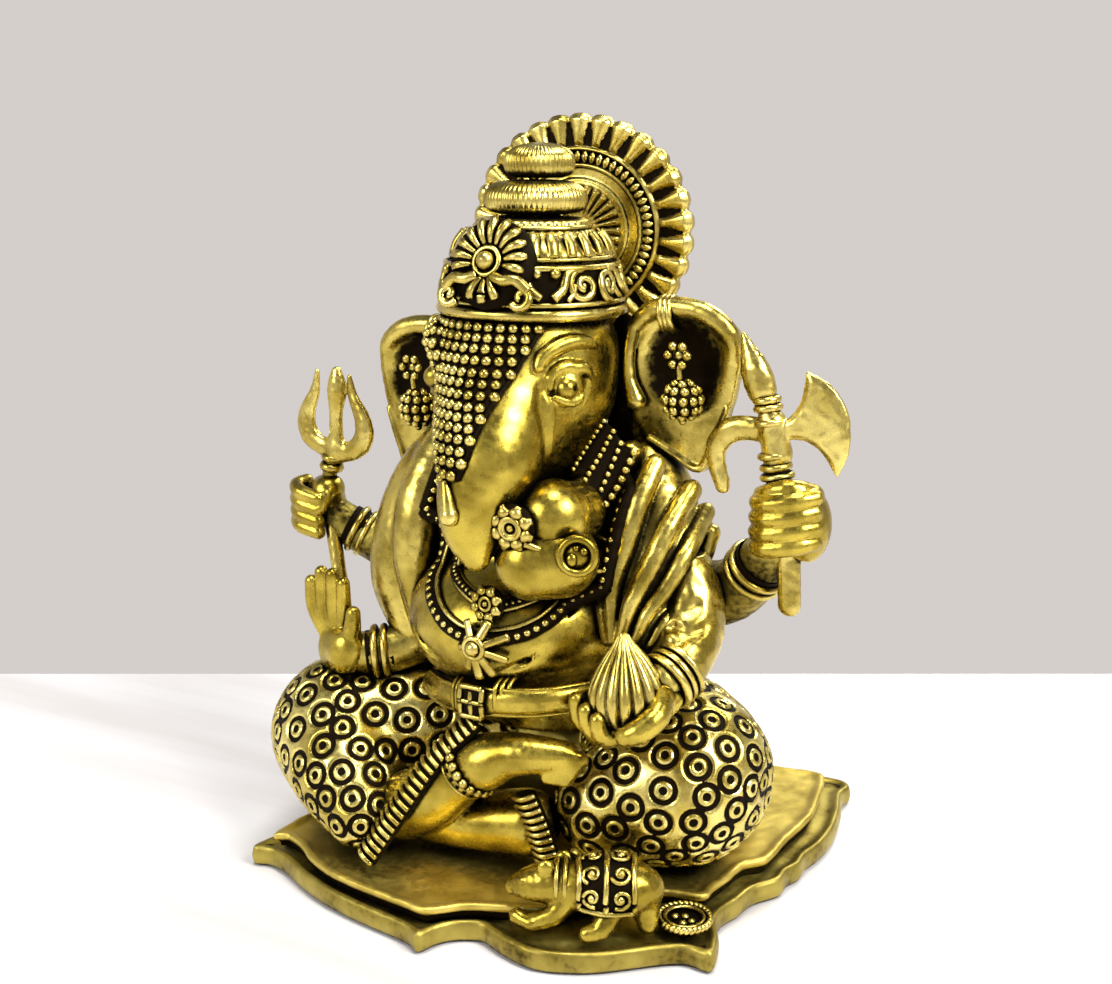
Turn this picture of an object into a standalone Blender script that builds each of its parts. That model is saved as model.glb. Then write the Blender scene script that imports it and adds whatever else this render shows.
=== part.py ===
"""Seated Ganesha figurine on a stepped plate, cast with an antique brass finish.

World frame: metres, +Z up, the figure faces -Y and its own left hand is on +X.
The origin is the middle of the flat underside of the base plate.
Every size below is written in millimetres and scaled by MM when a mesh is made.
The casting is one rigid piece; each sub-form is its own closed solid, and
neighbouring solids are trimmed so that GAP_MM of air stays between them.
"""
import math

import bmesh
import bpy
from mathutils import Matrix, Vector

MM = 0.001
GAP_MM = 0.3
TUBE_SIDES = 5

# Base
SLAB_TOP = 4.5
STEP_BOTTOM = SLAB_TOP + GAP_MM
STEP_TOP = 7.5

# Figure
CROWN_X = -1.0
CROWN_Y = -4.0
CROWN_RIM_Z = 113.0
HALO_Y = 17.6
HALO_X = -1.8
HALO_Z = 127.1
HALO_WIDE = 24.4
HALO_TALL = 22.6
HALO_THICK = 3.2
CROWN_DEPTH = 0.93
EAR_Y = 4.2
EAR_SHIFT = -1.3
EAR_THICK = 4.6
EAR_DROP = 6.5
TRIDENT_Y = -2.0
AXE_Y = 0.0

# Colour, roughness of each material; all of them are metallic brass.
BRIGHT = ((0.80, 0.64, 0.25), 0.34)
WARM = ((0.72, 0.52, 0.14), 0.36)
OLIVE = ((0.46, 0.40, 0.12), 0.45)
DARK = ((0.16, 0.12, 0.05), 0.55)

SOLIDS = {}
BLANKS = {}


# ---------------------------------------------------------------- helpers

def clear_scene():
    for obj in list(bpy.data.objects):
        bpy.data.objects.remove(obj, do_unlink=True)


def brass(name, tone):
    """Return a new metallic material in the given (colour, roughness) tone."""
    colour, roughness = tone
    material = bpy.data.materials.new(name)
    material.use_nodes = True
    shader = material.node_tree.nodes["Principled BSDF"]
    shader.inputs["Base Color"].default_value = (*colour, 1.0)
    shader.inputs["Metallic"].default_value = 1.0
    shader.inputs["Roughness"].default_value = roughness
    return material


def add_solid(name, bm, tone):
    """Turn a bmesh in millimetres into a named object in metres."""
    bmesh.ops.recalc_face_normals(bm, faces=bm.faces)
    bmesh.ops.scale(bm, vec=(MM, MM, MM), verts=bm.verts)
    mesh = bpy.data.meshes.new(name)
    bm.to_mesh(mesh)
    bm.free()
    obj = bpy.data.objects.new(name, mesh)
    bpy.context.scene.collection.objects.link(obj)
    obj.data.materials.append(brass(name + "_metal", tone))
    SOLIDS[name] = obj
    BLANKS[name] = [mesh.copy()]
    return obj


def settle(obj):
    """Replace an object's mesh by what its modifiers make of it."""
    depsgraph = bpy.context.evaluated_depsgraph_get()
    result = bpy.data.meshes.new_from_object(obj.evaluated_get(depsgraph))
    obj.modifiers.clear()
    obj.data = result


def boolean(obj, tool, operation):
    modifier = obj.modifiers.new(operation.lower(), "BOOLEAN")
    modifier.operation = operation
    modifier.solver = "EXACT"
    modifier.object = tool
    settle(obj)


def join_solids(name, bms, tone):
    """Fuse several overlapping bmeshes into one closed solid."""
    obj = add_solid(name, bms[0], tone)
    for index, bm in enumerate(bms[1:]):
        tool = add_solid(f"{name}_tool_{index}", bm, tone)
        boolean(obj, tool, "UNION")
        BLANKS[name].append(tool.data)
        del SOLIDS[tool.name]
        bpy.data.objects.remove(tool, do_unlink=True)
    return obj


def swollen(blank):
    """Return a cutter: a simple shape grown by the air gap on every side."""
    bm = bmesh.new()
    bm.from_mesh(blank)
    bmesh.ops.triangulate(bm, faces=bm.faces)
    bm.normal_update()
    moves = [(v, v.normal * min(v.calc_shell_factor(), 2.0)) for v in bm.verts]
    for vertex, direction in moves:
        vertex.co += direction * GAP_MM * 1.15 * MM
    mesh = bpy.data.meshes.new("grown")
    bm.to_mesh(mesh)
    bm.free()
    cutter = bpy.data.objects.new("grown", mesh)
    bpy.context.scene.collection.objects.link(cutter)
    cutter.hide_render = True
    cutter.display_type = "WIRE"
    return cutter


def make_room(name, *neighbours):
    """Trim one solid so that it clears the neighbours it runs into."""
    for neighbour in neighbours:
        for blank in BLANKS[neighbour]:
            cutter = swollen(blank)
            boolean(SOLIDS[name], cutter, "DIFFERENCE")
            bpy.data.objects.remove(cutter, do_unlink=True)
    keep_largest_body(SOLIDS[name])


def keep_largest_body(obj):
    """Drop the slivers that a cut can leave beside the main body."""
    bm = bmesh.new()
    bm.from_mesh(obj.data)
    bmesh.ops.remove_doubles(bm, verts=bm.verts, dist=0.0005 * MM)
    bodies = []
    unseen = set(bm.verts)
    while unseen:
        stack = [unseen.pop()]
        body = set(stack)
        while stack:
            for edge in stack.pop().link_edges:
                for vertex in edge.verts:
                    if vertex in unseen:
                        unseen.discard(vertex)
                        body.add(vertex)
                        stack.append(vertex)
        bodies.append(body)
    bodies.sort(key=len)
    spare = [vertex for body in bodies[:-1] for vertex in body]
    bmesh.ops.delete(bm, geom=spare, context="VERTS")
    bm.to_mesh(obj.data)
    bm.free()


def loft(rings):
    """Close a stack of equally long rings of points into a solid."""
    bm = bmesh.new()
    rows = [[bm.verts.new(point) for point in ring] for ring in rings]
    count = len(rows[0])
    for low, high in zip(rows, rows[1:]):
        for i in range(count):
            j = (i + 1) % count
            bm.faces.new((low[i], low[j], high[j], high[i]))
    bm.faces.new(list(reversed(rows[0])))
    bm.faces.new(rows[-1])
    return bm


def ellipse(centre, across, over, half_across, half_over, sides):
    turns = [2.0 * math.pi * i / sides for i in range(sides)]
    return [centre + across * half_across * math.cos(t) + over * half_over * math.sin(t)
            for t in turns]


def limb(stations, sides=12, across=(1, 0, 0), blunt=0.6):
    """A tube through (x, y, z, half width, half depth) stations, ends rounded off.

    across is the direction that the half widths are measured in.
    """
    centres = [Vector(s[:3]) for s in stations]
    sizes = [(s[3], s[4]) for s in stations]
    rings = []
    last = len(centres) - 1
    hint = Vector(across)
    for i, centre in enumerate(centres):
        along = centres[min(i + 1, last)] - centres[max(i - 1, 0)]
        along.normalize()
        wide = (hint - along * hint.dot(along)).normalized()
        deep = along.cross(wide)
        half_wide, half_deep = sizes[i]
        reach = min(half_wide, half_deep) * blunt
        rounding = [(reach, 0.6)] if sides <= 10 else [(0.6 * reach, 0.8), (reach, 0.45)]
        steps = [(0.0, 1.0)]
        if i == 0:
            steps = [(-shift, factor) for shift, factor in reversed(rounding)] + steps
        elif i == last:
            steps = steps + rounding
        for shift, factor in steps:
            rings.append(ellipse(centre + along * shift, wide, deep,
                                 half_wide * factor, half_deep * factor, sides))
    return loft(rings)


def round_limb(stations, sides=12, across=(1, 0, 0), blunt=0.6):
    """A limb whose sections are circles: stations are (x, y, z, radius)."""
    return limb([(*s[:3], s[3], s[3]) for s in stations], sides, across, blunt)


def ball(centre, radii, turn_z=0.0, segments=12, rows=7):
    """An ellipsoid, turned about the vertical by turn_z degrees."""
    bm = bmesh.new()
    bmesh.ops.create_uvsphere(bm, u_segments=segments, v_segments=rows, radius=1.0)
    place = (Matrix.Translation(centre) @ Matrix.Rotation(math.radians(turn_z), 4, "Z")
             @ Matrix.Diagonal((*radii, 1.0)))
    bmesh.ops.transform(bm, matrix=place, verts=bm.verts)
    return bm


def turned(profile, centre, axis=(0, 0, 1), sides=24):
    """A solid of revolution from (radius, height) pairs along an axis."""
    axis = Vector(axis).normalized()
    turn = Vector((0, 0, 1)).rotation_difference(axis).to_matrix()
    across = turn @ Vector((1, 0, 0))
    over = turn @ Vector((0, 1, 0))
    middle = Vector(centre)
    return loft([ellipse(middle + axis * height, across, over, radius, radius, sides)
                 for radius, height in profile])


def plate(outline, low, high):
    """A flat slab between two heights with the given (x, y) outline."""
    bm = bmesh.new()
    floor = bm.faces.new([bm.verts.new((x, y, low)) for x, y in outline])
    wall = bmesh.ops.extrude_face_region(bm, geom=[floor])
    lifted = [item for item in wall["geom"] if isinstance(item, bmesh.types.BMVert)]
    bmesh.ops.translate(bm, vec=(0, 0, high - low), verts=lifted)
    return bm


def upright_plate(outline, y, thickness):
    """A flat slab standing across Y with the given (x, z) outline."""
    bm = plate([(x, z) for x, z in outline], -thickness / 2.0, thickness / 2.0)
    bmesh.ops.rotate(bm, matrix=Matrix.Rotation(math.radians(90), 3, "X"), verts=bm.verts)
    bmesh.ops.translate(bm, vec=(0, y, 0), verts=bm.verts)
    return bm


def ring_band(centre, axis, reach, tube, sides=12):
    """A torus about an axis: reach is the radius of its middle line, tube that of its section."""
    centre, axis = Vector(centre), Vector(axis).normalized()
    turn = Vector((0, 0, 1)).rotation_difference(axis).to_matrix()
    bm = bmesh.new()
    rows = []
    for i in range(sides * 2):
        t = math.pi * i / sides
        spoke = turn @ Vector((math.cos(t), math.sin(t), 0.0))
        row = []
        for k in range(TUBE_SIDES):
            a = 2.0 * math.pi * k / TUBE_SIDES
            row.append(bm.verts.new(centre + spoke * (reach + tube * math.cos(a))
                                    + axis * tube * math.sin(a)))
        rows.append(row)
    for row, after in zip(rows, rows[1:] + rows[:1]):
        for k in range(TUBE_SIDES):
            m = (k + 1) % TUBE_SIDES
            bm.faces.new((row[k], after[k], after[m], row[m]))
    return bm


def smooth_through(points, per_span, closed=False):
    """Catmull-Rom points through a list of 3-D points."""
    points = [Vector(p) for p in points]
    count = len(points)
    spans = count if closed else count - 1
    path = []
    for i in range(spans):
        if closed:
            a, b, c, d = (points[(i + k - 1) % count] for k in range(4))
        else:
            a, b, c, d = (points[min(max(i + k - 1, 0), count - 1)] for k in range(4))
        for step in range(per_span):
            t = step / per_span
            path.append(0.5 * (2 * b + (c - a) * t + (2 * a - 5 * b + 4 * c - d) * t * t
                               + (3 * b - 3 * c + d - a) * t ** 3))
    if not closed:
        path.append(points[-1])
    return path


def strand(points, radius, sides=6, per_span=2):
    """A thin round cord of metal through the given points."""
    path = smooth_through(points, per_span)
    return round_limb([(*p, radius) for p in path], sides, across=(0.3, 0.2, 0.9))


def mirrored(points):
    return [(-x, y) for x, y in reversed(points)]


# ---------------------------------------------------------------- base

# Right half of each outline, from the back middle round to the front corner.
SLAB_SIDE = [(30.0, 49.6), (46.0, 52.0), (50.5, 49.5), (50.0, 45.0), (52.0, 37.0), (53.3, 28.0),
             (53.0, 20.0), (51.8, 14.5), (52.0, 10.5), (50.6, 6.5), (50.6, 2.5), (47.2, -3.0),
             (46.2, -8.5), (45.0, -12.5), (45.0, -17.0), (47.6, -22.5), (48.6, -28.5)]
SLAB_LOBE = [(43.5, -28.4), (39.5, -30.8), (35.5, -34.2), (30.5, -38.3), (25.0, -41.2),
             (19.5, -42.6), (13.5, -41.5), (9.0, -39.8), (6.8, -39.0)]
SLAB_CUSP = [(2.7, -41.0), (0.6, -43.6), (-1.2, -47.8), (-4.0, -46.4), (-8.0, -45.5),
             (-14.0, -44.7), (-20.5, -43.6), (-27.0, -42.0), (-34.0, -39.4), (-40.5, -36.2),
             (-45.5, -34.8), (-50.0, -34.6)]
STEP_SIDE = [(28.0, 45.0), (43.0, 46.5), (46.2, 43.0), (47.8, 35.0), (49.0, 27.0), (48.6, 20.0),
             (47.9, 14.0), (47.6, 6.5), (47.0, 3.0), (44.0, -0.5), (43.2, -6.0), (42.0, -11.5),
             (41.4, -15.5)]
STEP_FRONT = [(33.5, -17.5), (26.0, -25.5), (20.0, -32.0), (15.0, -34.6), (10.0, -36.5),
              (3.8, -39.2), (-1.8, -43.9), (-5.7, -43.8), (-11.6, -43.2), (-18.8, -42.3),
              (-26.1, -40.8), (-32.7, -38.0), (-38.0, -34.4), (-42.5, -32.7), (-45.5, -32.4)]


def build_base():
    slab_left = mirrored(SLAB_SIDE[:-2])
    slab = SLAB_SIDE + SLAB_LOBE + SLAB_CUSP + slab_left
    bm = plate(list(reversed(slab)), 0.0, SLAB_TOP)
    add_solid("base_plate", bm, OLIVE)
    step = STEP_SIDE + STEP_FRONT + mirrored(STEP_SIDE[:-2])
    add_solid("base_step", plate(list(reversed(step)), STEP_BOTTOM, STEP_TOP), WARM)


# ---------------------------------------------------------------- lower body

def build_legs():
    join_solids("thigh_right", [
        round_limb([(-10, 8, 24, 14), (-24, -3, 24.5, 16), (-38.5, -13, 24, 16)], 14,
                   across=(0, 0, 1)),
        round_limb([(-40.5, -15, 23, 14.8), (-33, -24, 20, 11.5), (-25, -31, 16, 7.5)], 14,
                   across=(0, 0, 1), blunt=0.8),
    ], BRIGHT)
    join_solids("thigh_left", [
        round_limb([(12, 14, 25, 14), (23, 5, 26, 16.5), (33, -2, 25, 16)], 14,
                   across=(0, 0, 1)),
        round_limb([(31, -5, 23, 15.5), (25, -8.5, 21.5, 13.6), (20, -11.5, 19.5, 11)], 14,
                   across=(0, 0, 1), blunt=0.8),
    ], BRIGHT)
    add_solid("hem_right", limb([(-1, -27, 38, 3.2, 1.9), (-7, -30.5, 31, 3.2, 1.9),
                                 (-12.5, -34, 22, 3.2, 1.9), (-19.5, -36.6, 10.4, 3.2, 1.9)],
                                10, across=(-1, 0.2, -0.4), blunt=0.2), BRIGHT)
    add_solid("hem_left", limb([(9.6, -26.6, 25.6, 2.9, 1.9), (11.6, -24.6, 18, 3.0, 1.9),
                                (12.9, -22.8, 10.2, 3.0, 1.9)],
                               10, across=(1, 0.1, 0), blunt=0.2), BRIGHT)
    add_solid("leg_left", round_limb([(-14, -22, 13.4, 5.2), (-5, -21, 14.2, 5.8),
                                      (6, -19, 15.6, 6.6)], 10, across=(0, 0, 1)), WARM)
    add_solid("leg_right", round_limb([(-18, -26, 16.5, 6.6), (-11, -27, 21, 6.6),
                                       (-5, -27, 26, 5.8)], 10, across=(0, 1, 0.5)), WARM)
    add_solid("anklet_right", ring_band((-2.2, -27.2, 28.8), (0.78, 0.0, 0.62), 5.5, 1.3, 9),
              BRIGHT)
    join_solids("foot_right", [
        limb([(2.6, -27.2, 31.6, 4.8, 4.6), (8.5, -27.2, 33.6, 4.6, 4.0),
              (15, -26, 34.2, 4.3, 3.1), (20.5, -24.4, 34.0, 3.6, 2.0)], 10, across=(0, 1, 0)),
        ball((3.2, -27, 31.4), (4.8, 5.0, 4.7), segments=11, rows=7),
    ], WARM)
    add_solid("seat_back", ball((2, 16, 19.0), (40, 24, 20), segments=18, rows=9), OLIVE)


def build_torso():
    join_solids("torso", [
        ball((-2.5, -5, 53.5), (22.5, 23.5, 15.5), segments=12, rows=7),
        ball((-2.0, 1.0, 70), (22.5, 17.5, 17), segments=12, rows=7),
        limb([(-2, 3, 36, 21, 17), (-2, 2, 46, 20, 17)], 16, blunt=0.1),
    ], WARM)
    add_solid("belt", limb([(-16.5, -17.5, 39.8, 2.9, 2.2), (-8, -24.5, 41.6, 2.9, 2.2),
                            (2, -27.0, 43.0, 2.9, 2.2), (12, -24.5, 43.8, 2.9, 2.2),
                            (19.5, -17.5, 44.2, 2.9, 2.2)], 10, across=(0, 0, 1)), WARM)
    add_solid("buckle", limb([(-2.6, -28.4, 43.1, 4.0, 2.6), (2.4, -29.0, 43.4, 4.0, 2.6)], 8,
                             across=(0, 0, 1), blunt=0.2), BRIGHT)
    add_solid("shawl_left", limb([(19.5, 5, 87.5, 7.5, 8.0), (23.0, 2.0, 79, 10.0, 9.5),
                                  (24.5, -2, 70, 10.0, 9.5), (23.8, -7, 60.5, 7.5, 8.0),
                                  (22.0, -10.5, 53.5, 4.6, 5.5)], 14, across=(1, 0, 0)), BRIGHT)
    add_solid("shawl_right", limb([(-19.5, 1, 87.5, 6.0, 8.0), (-24.5, -1.5, 79, 7.5, 9.5),
                                   (-28.5, -4, 69, 8.0, 9.5), (-29.5, -6.5, 58, 8.0, 8.5),
                                   (-26.0, -9.5, 47, 5.5, 6.0)], 14, across=(1, 0, 0)), BRIGHT)


def build_necklaces():
    add_solid("necklace_outer", strand([(17.5, -8, 86), (17.8, -13.5, 77), (17.6, -20, 66),
                                        (12.0, -26.5, 58.5), (2.0, -29.4, 55.6),
                                        (-7.0, -28.2, 57.5), (-14.5, -22.5, 64),
                                        (-17.5, -15.5, 74), (-17.5, -10, 83)], 1.25), BRIGHT)
    add_solid("necklace_inner", strand([(14.5, -10, 84), (14.0, -16, 74), (11.5, -22.0, 66.5),
                                        (2.5, -26.6, 62.4), (-7.5, -24.0, 66.5),
                                        (-12.5, -18.5, 74), (-13.5, -13, 82)], 1.1), BRIGHT)
    add_solid("pendant_upper", turned([(3.6, -0.9), (3.6, 0.6), (2.0, 1.5)], (2.6, -27.4, 62.4),
                                      (-0.1, -1, 0.15), 14), BRIGHT)
    add_solid("pendant_lower", turned([(4.6, -0.9), (4.6, 0.6), (2.2, 1.9)], (1.6, -30.4, 54.6),
                                      (-0.1, -1, 0.05), 14), BRIGHT)


# ---------------------------------------------------------------- arms

def fist(name, centre, radii, turn_z, knuckle_side, tone):
    """A closed hand: a rounded palm with four fingers lying across it."""
    cx, cy, cz = centre
    shapes = [ball(centre, radii, turn_z, 11, 7)]
    for finger in range(4):
        level = cz + radii[2] * (0.62 - 0.42 * finger)
        shapes.append(round_limb([
            (cx + knuckle_side * radii[0] * 0.83, cy + 0.45, level, 1.72),
            (cx + knuckle_side * radii[0] * 0.47, cy - radii[1] * 0.81, level - 0.53, 1.88),
            (cx - knuckle_side * radii[0] * 0.46, cy - radii[1] * 0.93, level - 0.94, 1.66),
        ], 6, across=(0.02, 0.03, 1)))
    return join_solids(name, shapes, tone)


def build_rear_arms():
    add_solid("arm_rear_right", round_limb([(-28, 4, 62, 6.5), (-37, 2.5, 60, 5.6),
                                            (-44.5, 0.5, 62.5, 4.6), (-49.0, -1.0, 65, 4.2)],
                                           10, across=(0, 1, 0)), WARM)
    add_solid("wristlet_rear_right",
              ring_band((-45.2, 0.3, 63.0), (-0.85, -0.3, 0.45), 5.0, 1.2, 8), BRIGHT)
    fist("fist_rear_right", (-53.4, -1.6, 68.2), (5.0, 5.0, 6.6), 8, -1, WARM)
    add_solid("arm_rear_left", round_limb([(28, 8, 58, 6.5), (36, 6.5, 60, 6.2),
                                           (41.5, 4.5, 64.5, 5.4), (46.0, 2.5, 70.5, 4.8)],
                                          10, across=(0, 1, 0)), WARM)
    add_solid("wristlet_rear_left",
              ring_band((42.5, 4.0, 66.0), (0.6, -0.3, 0.75), 5.9, 1.3, 8), BRIGHT)
    fist("fist_rear_left", (50.0, 0.6, 77.4), (5.8, 5.6, 6.8), 8, 1, WARM)


def build_front_arms():
    add_solid("arm_front_right", round_limb([(-24.5, -8, 45.5, 5.2), (-29.0, -12.5, 43.2, 4.8),
                                             (-33.5, -15.5, 42.6, 4.4)], 10, across=(0, 1, 0)),
              WARM)
    add_solid("bangles_front_right",
              ring_band((-31.0, -14.0, 42.8), (-0.85, -0.5, -0.1), 5.3, 1.6, 8), BRIGHT)
    palm = [limb([(-38.5, -16.8, 39.5, 5.0, 2.9), (-39.3, -17.0, 45.5, 5.4, 2.9),
                  (-40.3, -17.0, 50.5, 4.9, 2.5)], 12),
            ball((-36.8, -17.2, 42.4), (4.6, 3.8, 5.4), segments=10, rows=6)]
    for x, top, radius in ((-45.4, 57.0, 1.6), (-42.9, 59.4, 1.7), (-40.3, 59.2, 1.7),
                           (-37.9, 57.6, 1.6)):
        palm.append(round_limb([(x * 0.35 + -40.3 * 0.65, -17.0, 47.5, radius),
                                (x, -17.2, 54.0, radius), (x, -17.4, top, radius * 0.85)], 6))
    palm.append(round_limb([(-36.4, -18.0, 43.5, 2.2), (-34.8, -18.8, 48.0, 1.9),
                            (-34.4, -19.0, 51.6, 1.5)], 6))
    join_solids("palm_right", palm, WARM)
    add_solid("arm_front_left", round_limb([(32.6, -3, 62, 6.0), (33.8, -6, 55.5, 6.4),
                                            (34.4, -11.5, 51.5, 5.6), (33.8, -16.0, 49.3, 4.8)],
                                           10, across=(1, 0, 0)), WARM)
    add_solid("bangles_front_left",
              ring_band((34.2, -15.0, 49.8), (-0.35, -0.85, -0.4), 5.7, 1.5, 8), BRIGHT)
    hand = [limb([(33.5, -18.5, 46.0, 5.2, 3.0), (29.5, -21.5, 42.0, 6.4, 3.2),
                  (25.0, -24.0, 41.0, 5.0, 2.6)], 10, across=(0.5, -0.6, -0.4))]
    for tip_x, tip_y, tip_z in ((19.6, -25.5, 45.5), (22.6, -27.3, 44.5), (26.0, -28.2, 43.6)):
        hand.append(round_limb([(27.5, -22.0, 40.5, 2.0), (tip_x + 1.5, tip_y + 1.0, 41.0, 1.9),
                                (tip_x, tip_y, tip_z, 1.5)], 6, across=(0, 0, 1)))
    hand.append(round_limb([(34.5, -20.5, 45.0, 2.3), (34.8, -24.5, 46.0, 2.1),
                            (32.6, -27.2, 47.6, 1.6)], 6, across=(0, 0, 1)))
    join_solids("hand_front_left", hand, WARM)
    add_solid("modak", turned([(2.6, -6.0), (5.2, -4.6), (6.8, -1.5), (6.6, 1.8), (4.6, 5.6),
                               (2.2, 9.0), (0.7, 11.4)], (28.0, -22.0, 47.5), (-0.08, 0, 1), 16),
              BRIGHT)


# ---------------------------------------------------------------- held tools

TRIDENT_TINE = [(-51.2, 82.5), (-53.6, 83.0), (-55.0, 85.0), (-54.4, 88.0), (-53.0, 92.0),
                (-53.4, 98.0), (-55.4, 92.4), (-58.6, 88.2), (-59.2, 84.2), (-56.6, 81.0),
                (-51.2, 79.6)]
TRIDENT_MIDDLE_X = -49.6
AXE_BLADE = [(45.6, 95.2), (49.0, 96.2), (51.6, 99.5), (52.2, 105.0), (56.0, 103.2), (59.4, 99.4),
             (60.6, 95.0), (60.2, 90.5), (58.6, 86.4), (55.6, 90.6), (52.0, 92.6), (46.2, 92.0)]
AXE_HOOK = [(45.4, 95.4), (41.5, 96.2), (37.5, 95.4), (34.2, 92.4), (33.6, 88.5), (35.2, 84.4),
            (36.2, 81.4), (37.6, 84.0), (36.9, 88.0), (38.6, 90.9), (42.0, 91.4), (46.0, 91.2)]


def build_trident():
    other_side = [(2 * TRIDENT_MIDDLE_X - x, z) for x, z in reversed(TRIDENT_TINE)]
    other_side = [(x, z - 0.6) for x, z in other_side]
    shapes = [upright_plate(TRIDENT_TINE + other_side, TRIDENT_Y, 2.6)]
    shapes.append(round_limb([(-49.7, TRIDENT_Y, 78.0, 1.5), (-49.4, TRIDENT_Y, 86.0, 1.7),
                              (-49.0, TRIDENT_Y, 93.0, 2.1), (-48.7, TRIDENT_Y, 97.6, 1.2)], 10))
    shapes.append(round_limb([(-46.3, -6.2, 52.6, 1.5), (-48.0, -5.2, 58, 1.5),
                              (-51.6, -2.4, 72, 1.5), (-50.2, TRIDENT_Y, 80, 1.5)], 10))
    shapes.append(turned([(2.6, -1.0), (2.9, 0.0), (2.6, 1.0)], (-50.8, TRIDENT_Y, 77.4), sides=14))
    shapes.append(turned([(2.1, -0.8), (2.4, 0.0), (2.1, 0.8)], (-50.3, TRIDENT_Y, 80.0), sides=14))
    join_solids("trident", shapes, BRIGHT)


def build_axe():
    shapes = [upright_plate(AXE_BLADE, AXE_Y, 2.2), upright_plate(AXE_HOOK, AXE_Y, 2.6)]
    shapes.append(round_limb([(51.0, -1.0, 60.8, 2.3), (50.0, 0.0, 72, 2.2),
                              (47.4, AXE_Y, 86, 2.2), (45.2, AXE_Y, 98, 2.0)], 12))
    shapes.append(round_limb([(45.1, AXE_Y, 98, 1.9), (42.6, AXE_Y, 104, 2.8),
                              (40.0, AXE_Y, 110.6, 0.9)], 10))
    for height, radius in ((86.2, 3.1), (97.2, 2.8), (99.4, 2.5)):
        x = 47.4 - (height - 86.0) * 0.18
        shapes.append(turned([(radius - 0.4, -1.0), (radius, 0.0), (radius - 0.4, 1.0)],
                             (x, AXE_Y, height), (-0.18, 0, 1), 14))
    join_solids("axe", shapes, BRIGHT)


# ---------------------------------------------------------------- head

def build_head():
    join_solids("head", [
        ball((-1.5, -4.5, 101.0), (17.6, 17.6, 17.5), segments=12, rows=7),
        ball((-0.6, -12.6, 96), (12.2, 14.2, 15.0), segments=12, rows=7),
        round_limb([(0, -14, 96, 11), (1.2, -22.4, 89.6, 8.8)], 12, across=(1, 0, 0), blunt=0.4),
        ball((0.4, -3, 87), (12.5, 12.0, 8), segments=12, rows=6),
    ], WARM)
    join_solids("trunk", [
        round_limb([(1.7, -24.6, 87.6, 8.2), (0.8, -27.4, 81.5, 6.6), (0.9, -28.8, 76, 5.2),
                    (1.5, -29.2, 72.4, 3.6)], 14, across=(0.9, 0.5, 0)),
        round_limb([(4.0, -27.2, 70.4, 5.4), (11.0, -24.0, 69.8, 7.0), (17.0, -22.6, 71.4, 5.4)],
                   12, across=(0, 0, 1)),
    ], WARM)
    add_solid("tusk_left", round_limb([(15.5, -13, 83, 6.0), (12.2, -18.5, 80.6, 7.2),
                                       (10.4, -21.8, 79.0, 6.8)], 14, across=(0, 0, 1), blunt=0.5),
              WARM)
    add_solid("tusk_flower", turned([(4.4, -0.9), (4.4, 0.6), (2.6, 1.6)], (8.6, -28.4, 78.0),
                                    (-0.30, -0.93, -0.15), 16), BRIGHT)
    add_solid("brow_net", limb([(-1.2, -18.2, 112.2, 13.0, 2.4), (-1.0, -23.4, 106, 10.2, 2.4),
                                (-0.6, -27.0, 98, 6.6, 2.2), (0.2, -30.6, 90, 3.2, 2.2),
                                (0.4, -33.0, 84.5, 1.9, 1.8)], 10, across=(1, 0, 0), blunt=0.4),
              DARK)
    add_solid("eye_left", ball((12.0, -15.2, 101.6), (3.6, 2.2, 2.3), 48, 8, 5), BRIGHT)
    add_solid("eye_right", ball((-15.0, -15.2, 101.6), (3.6, 2.2, 2.3), -48, 8, 5), BRIGHT)


EAR_OUTLINE = [(17.5, 113.0), (22.5, 115.2), (27.5, 115.6), (32.5, 114.2), (36.4, 111.0),
               (38.8, 106.0), (37.4, 99.0), (34.6, 92.6), (32.4, 87.0), (30.4, 83.4),
               (25.0, 85.6), (19.0, 88.6), (16.0, 96.0), (15.6, 105.0)]


def build_ears():
    """The figure tips its head, so its right ear hangs EAR_DROP lower than its left."""
    for side, word, drop in ((1, "left", 0.0), (-1, "right", EAR_DROP)):
        outline = [(side * x + EAR_SHIFT, z - drop) for x, z in EAR_OUTLINE]
        if side < 0:
            outline.reverse()
        bm = upright_plate(outline, EAR_Y, EAR_THICK)
        add_solid(f"ear_{word}", bm, WARM)
        clip_at = (side * 25.6 + EAR_SHIFT, EAR_Y - 0.9, 112.6 - drop)
        add_solid(f"ear_clip_{word}", ring_band(clip_at, (1, 0, 0.15 * side), 3.7, 0.9, 7),
                  BRIGHT)
        join_solids(f"earring_{word}", [
            ball((side * 28.2, -0.2, 106.6 - drop), (2.3, 2.3, 2.4), 7, 7, 5),
            ball((side * 28.6, -0.6, 102.7 - drop), (1.5, 1.5, 2.7), 19, 6, 5),
            ball((side * 29.2, -1.2, 97.6 - drop), (4.1, 3.9, 4.3), 31, 9, 6),
        ], BRIGHT)


# ---------------------------------------------------------------- crown and halo

CROWN_BAND = [(17.4, 0.0), (18.5, 1.0), (18.6, 2.6), (17.8, 4.0), (17.2, 7.5), (16.4, 10.0)]
CROWN_PETALS = [(15.8, 10.4), (15.4, 12.6), (12.6, 15.4), (10.6, 17.0), (8.0, 17.8)]
CROWN_LOWER_BUN = [(6.6, 18.2), (8.8, 19.0), (9.6, 21.0), (9.0, 23.4), (6.2, 24.4)]
CROWN_UPPER_BUN = [(4.4, 24.8), (6.0, 25.6), (6.5, 27.4), (5.8, 29.4), (3.8, 30.6), (1.4, 31.2)]


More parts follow.
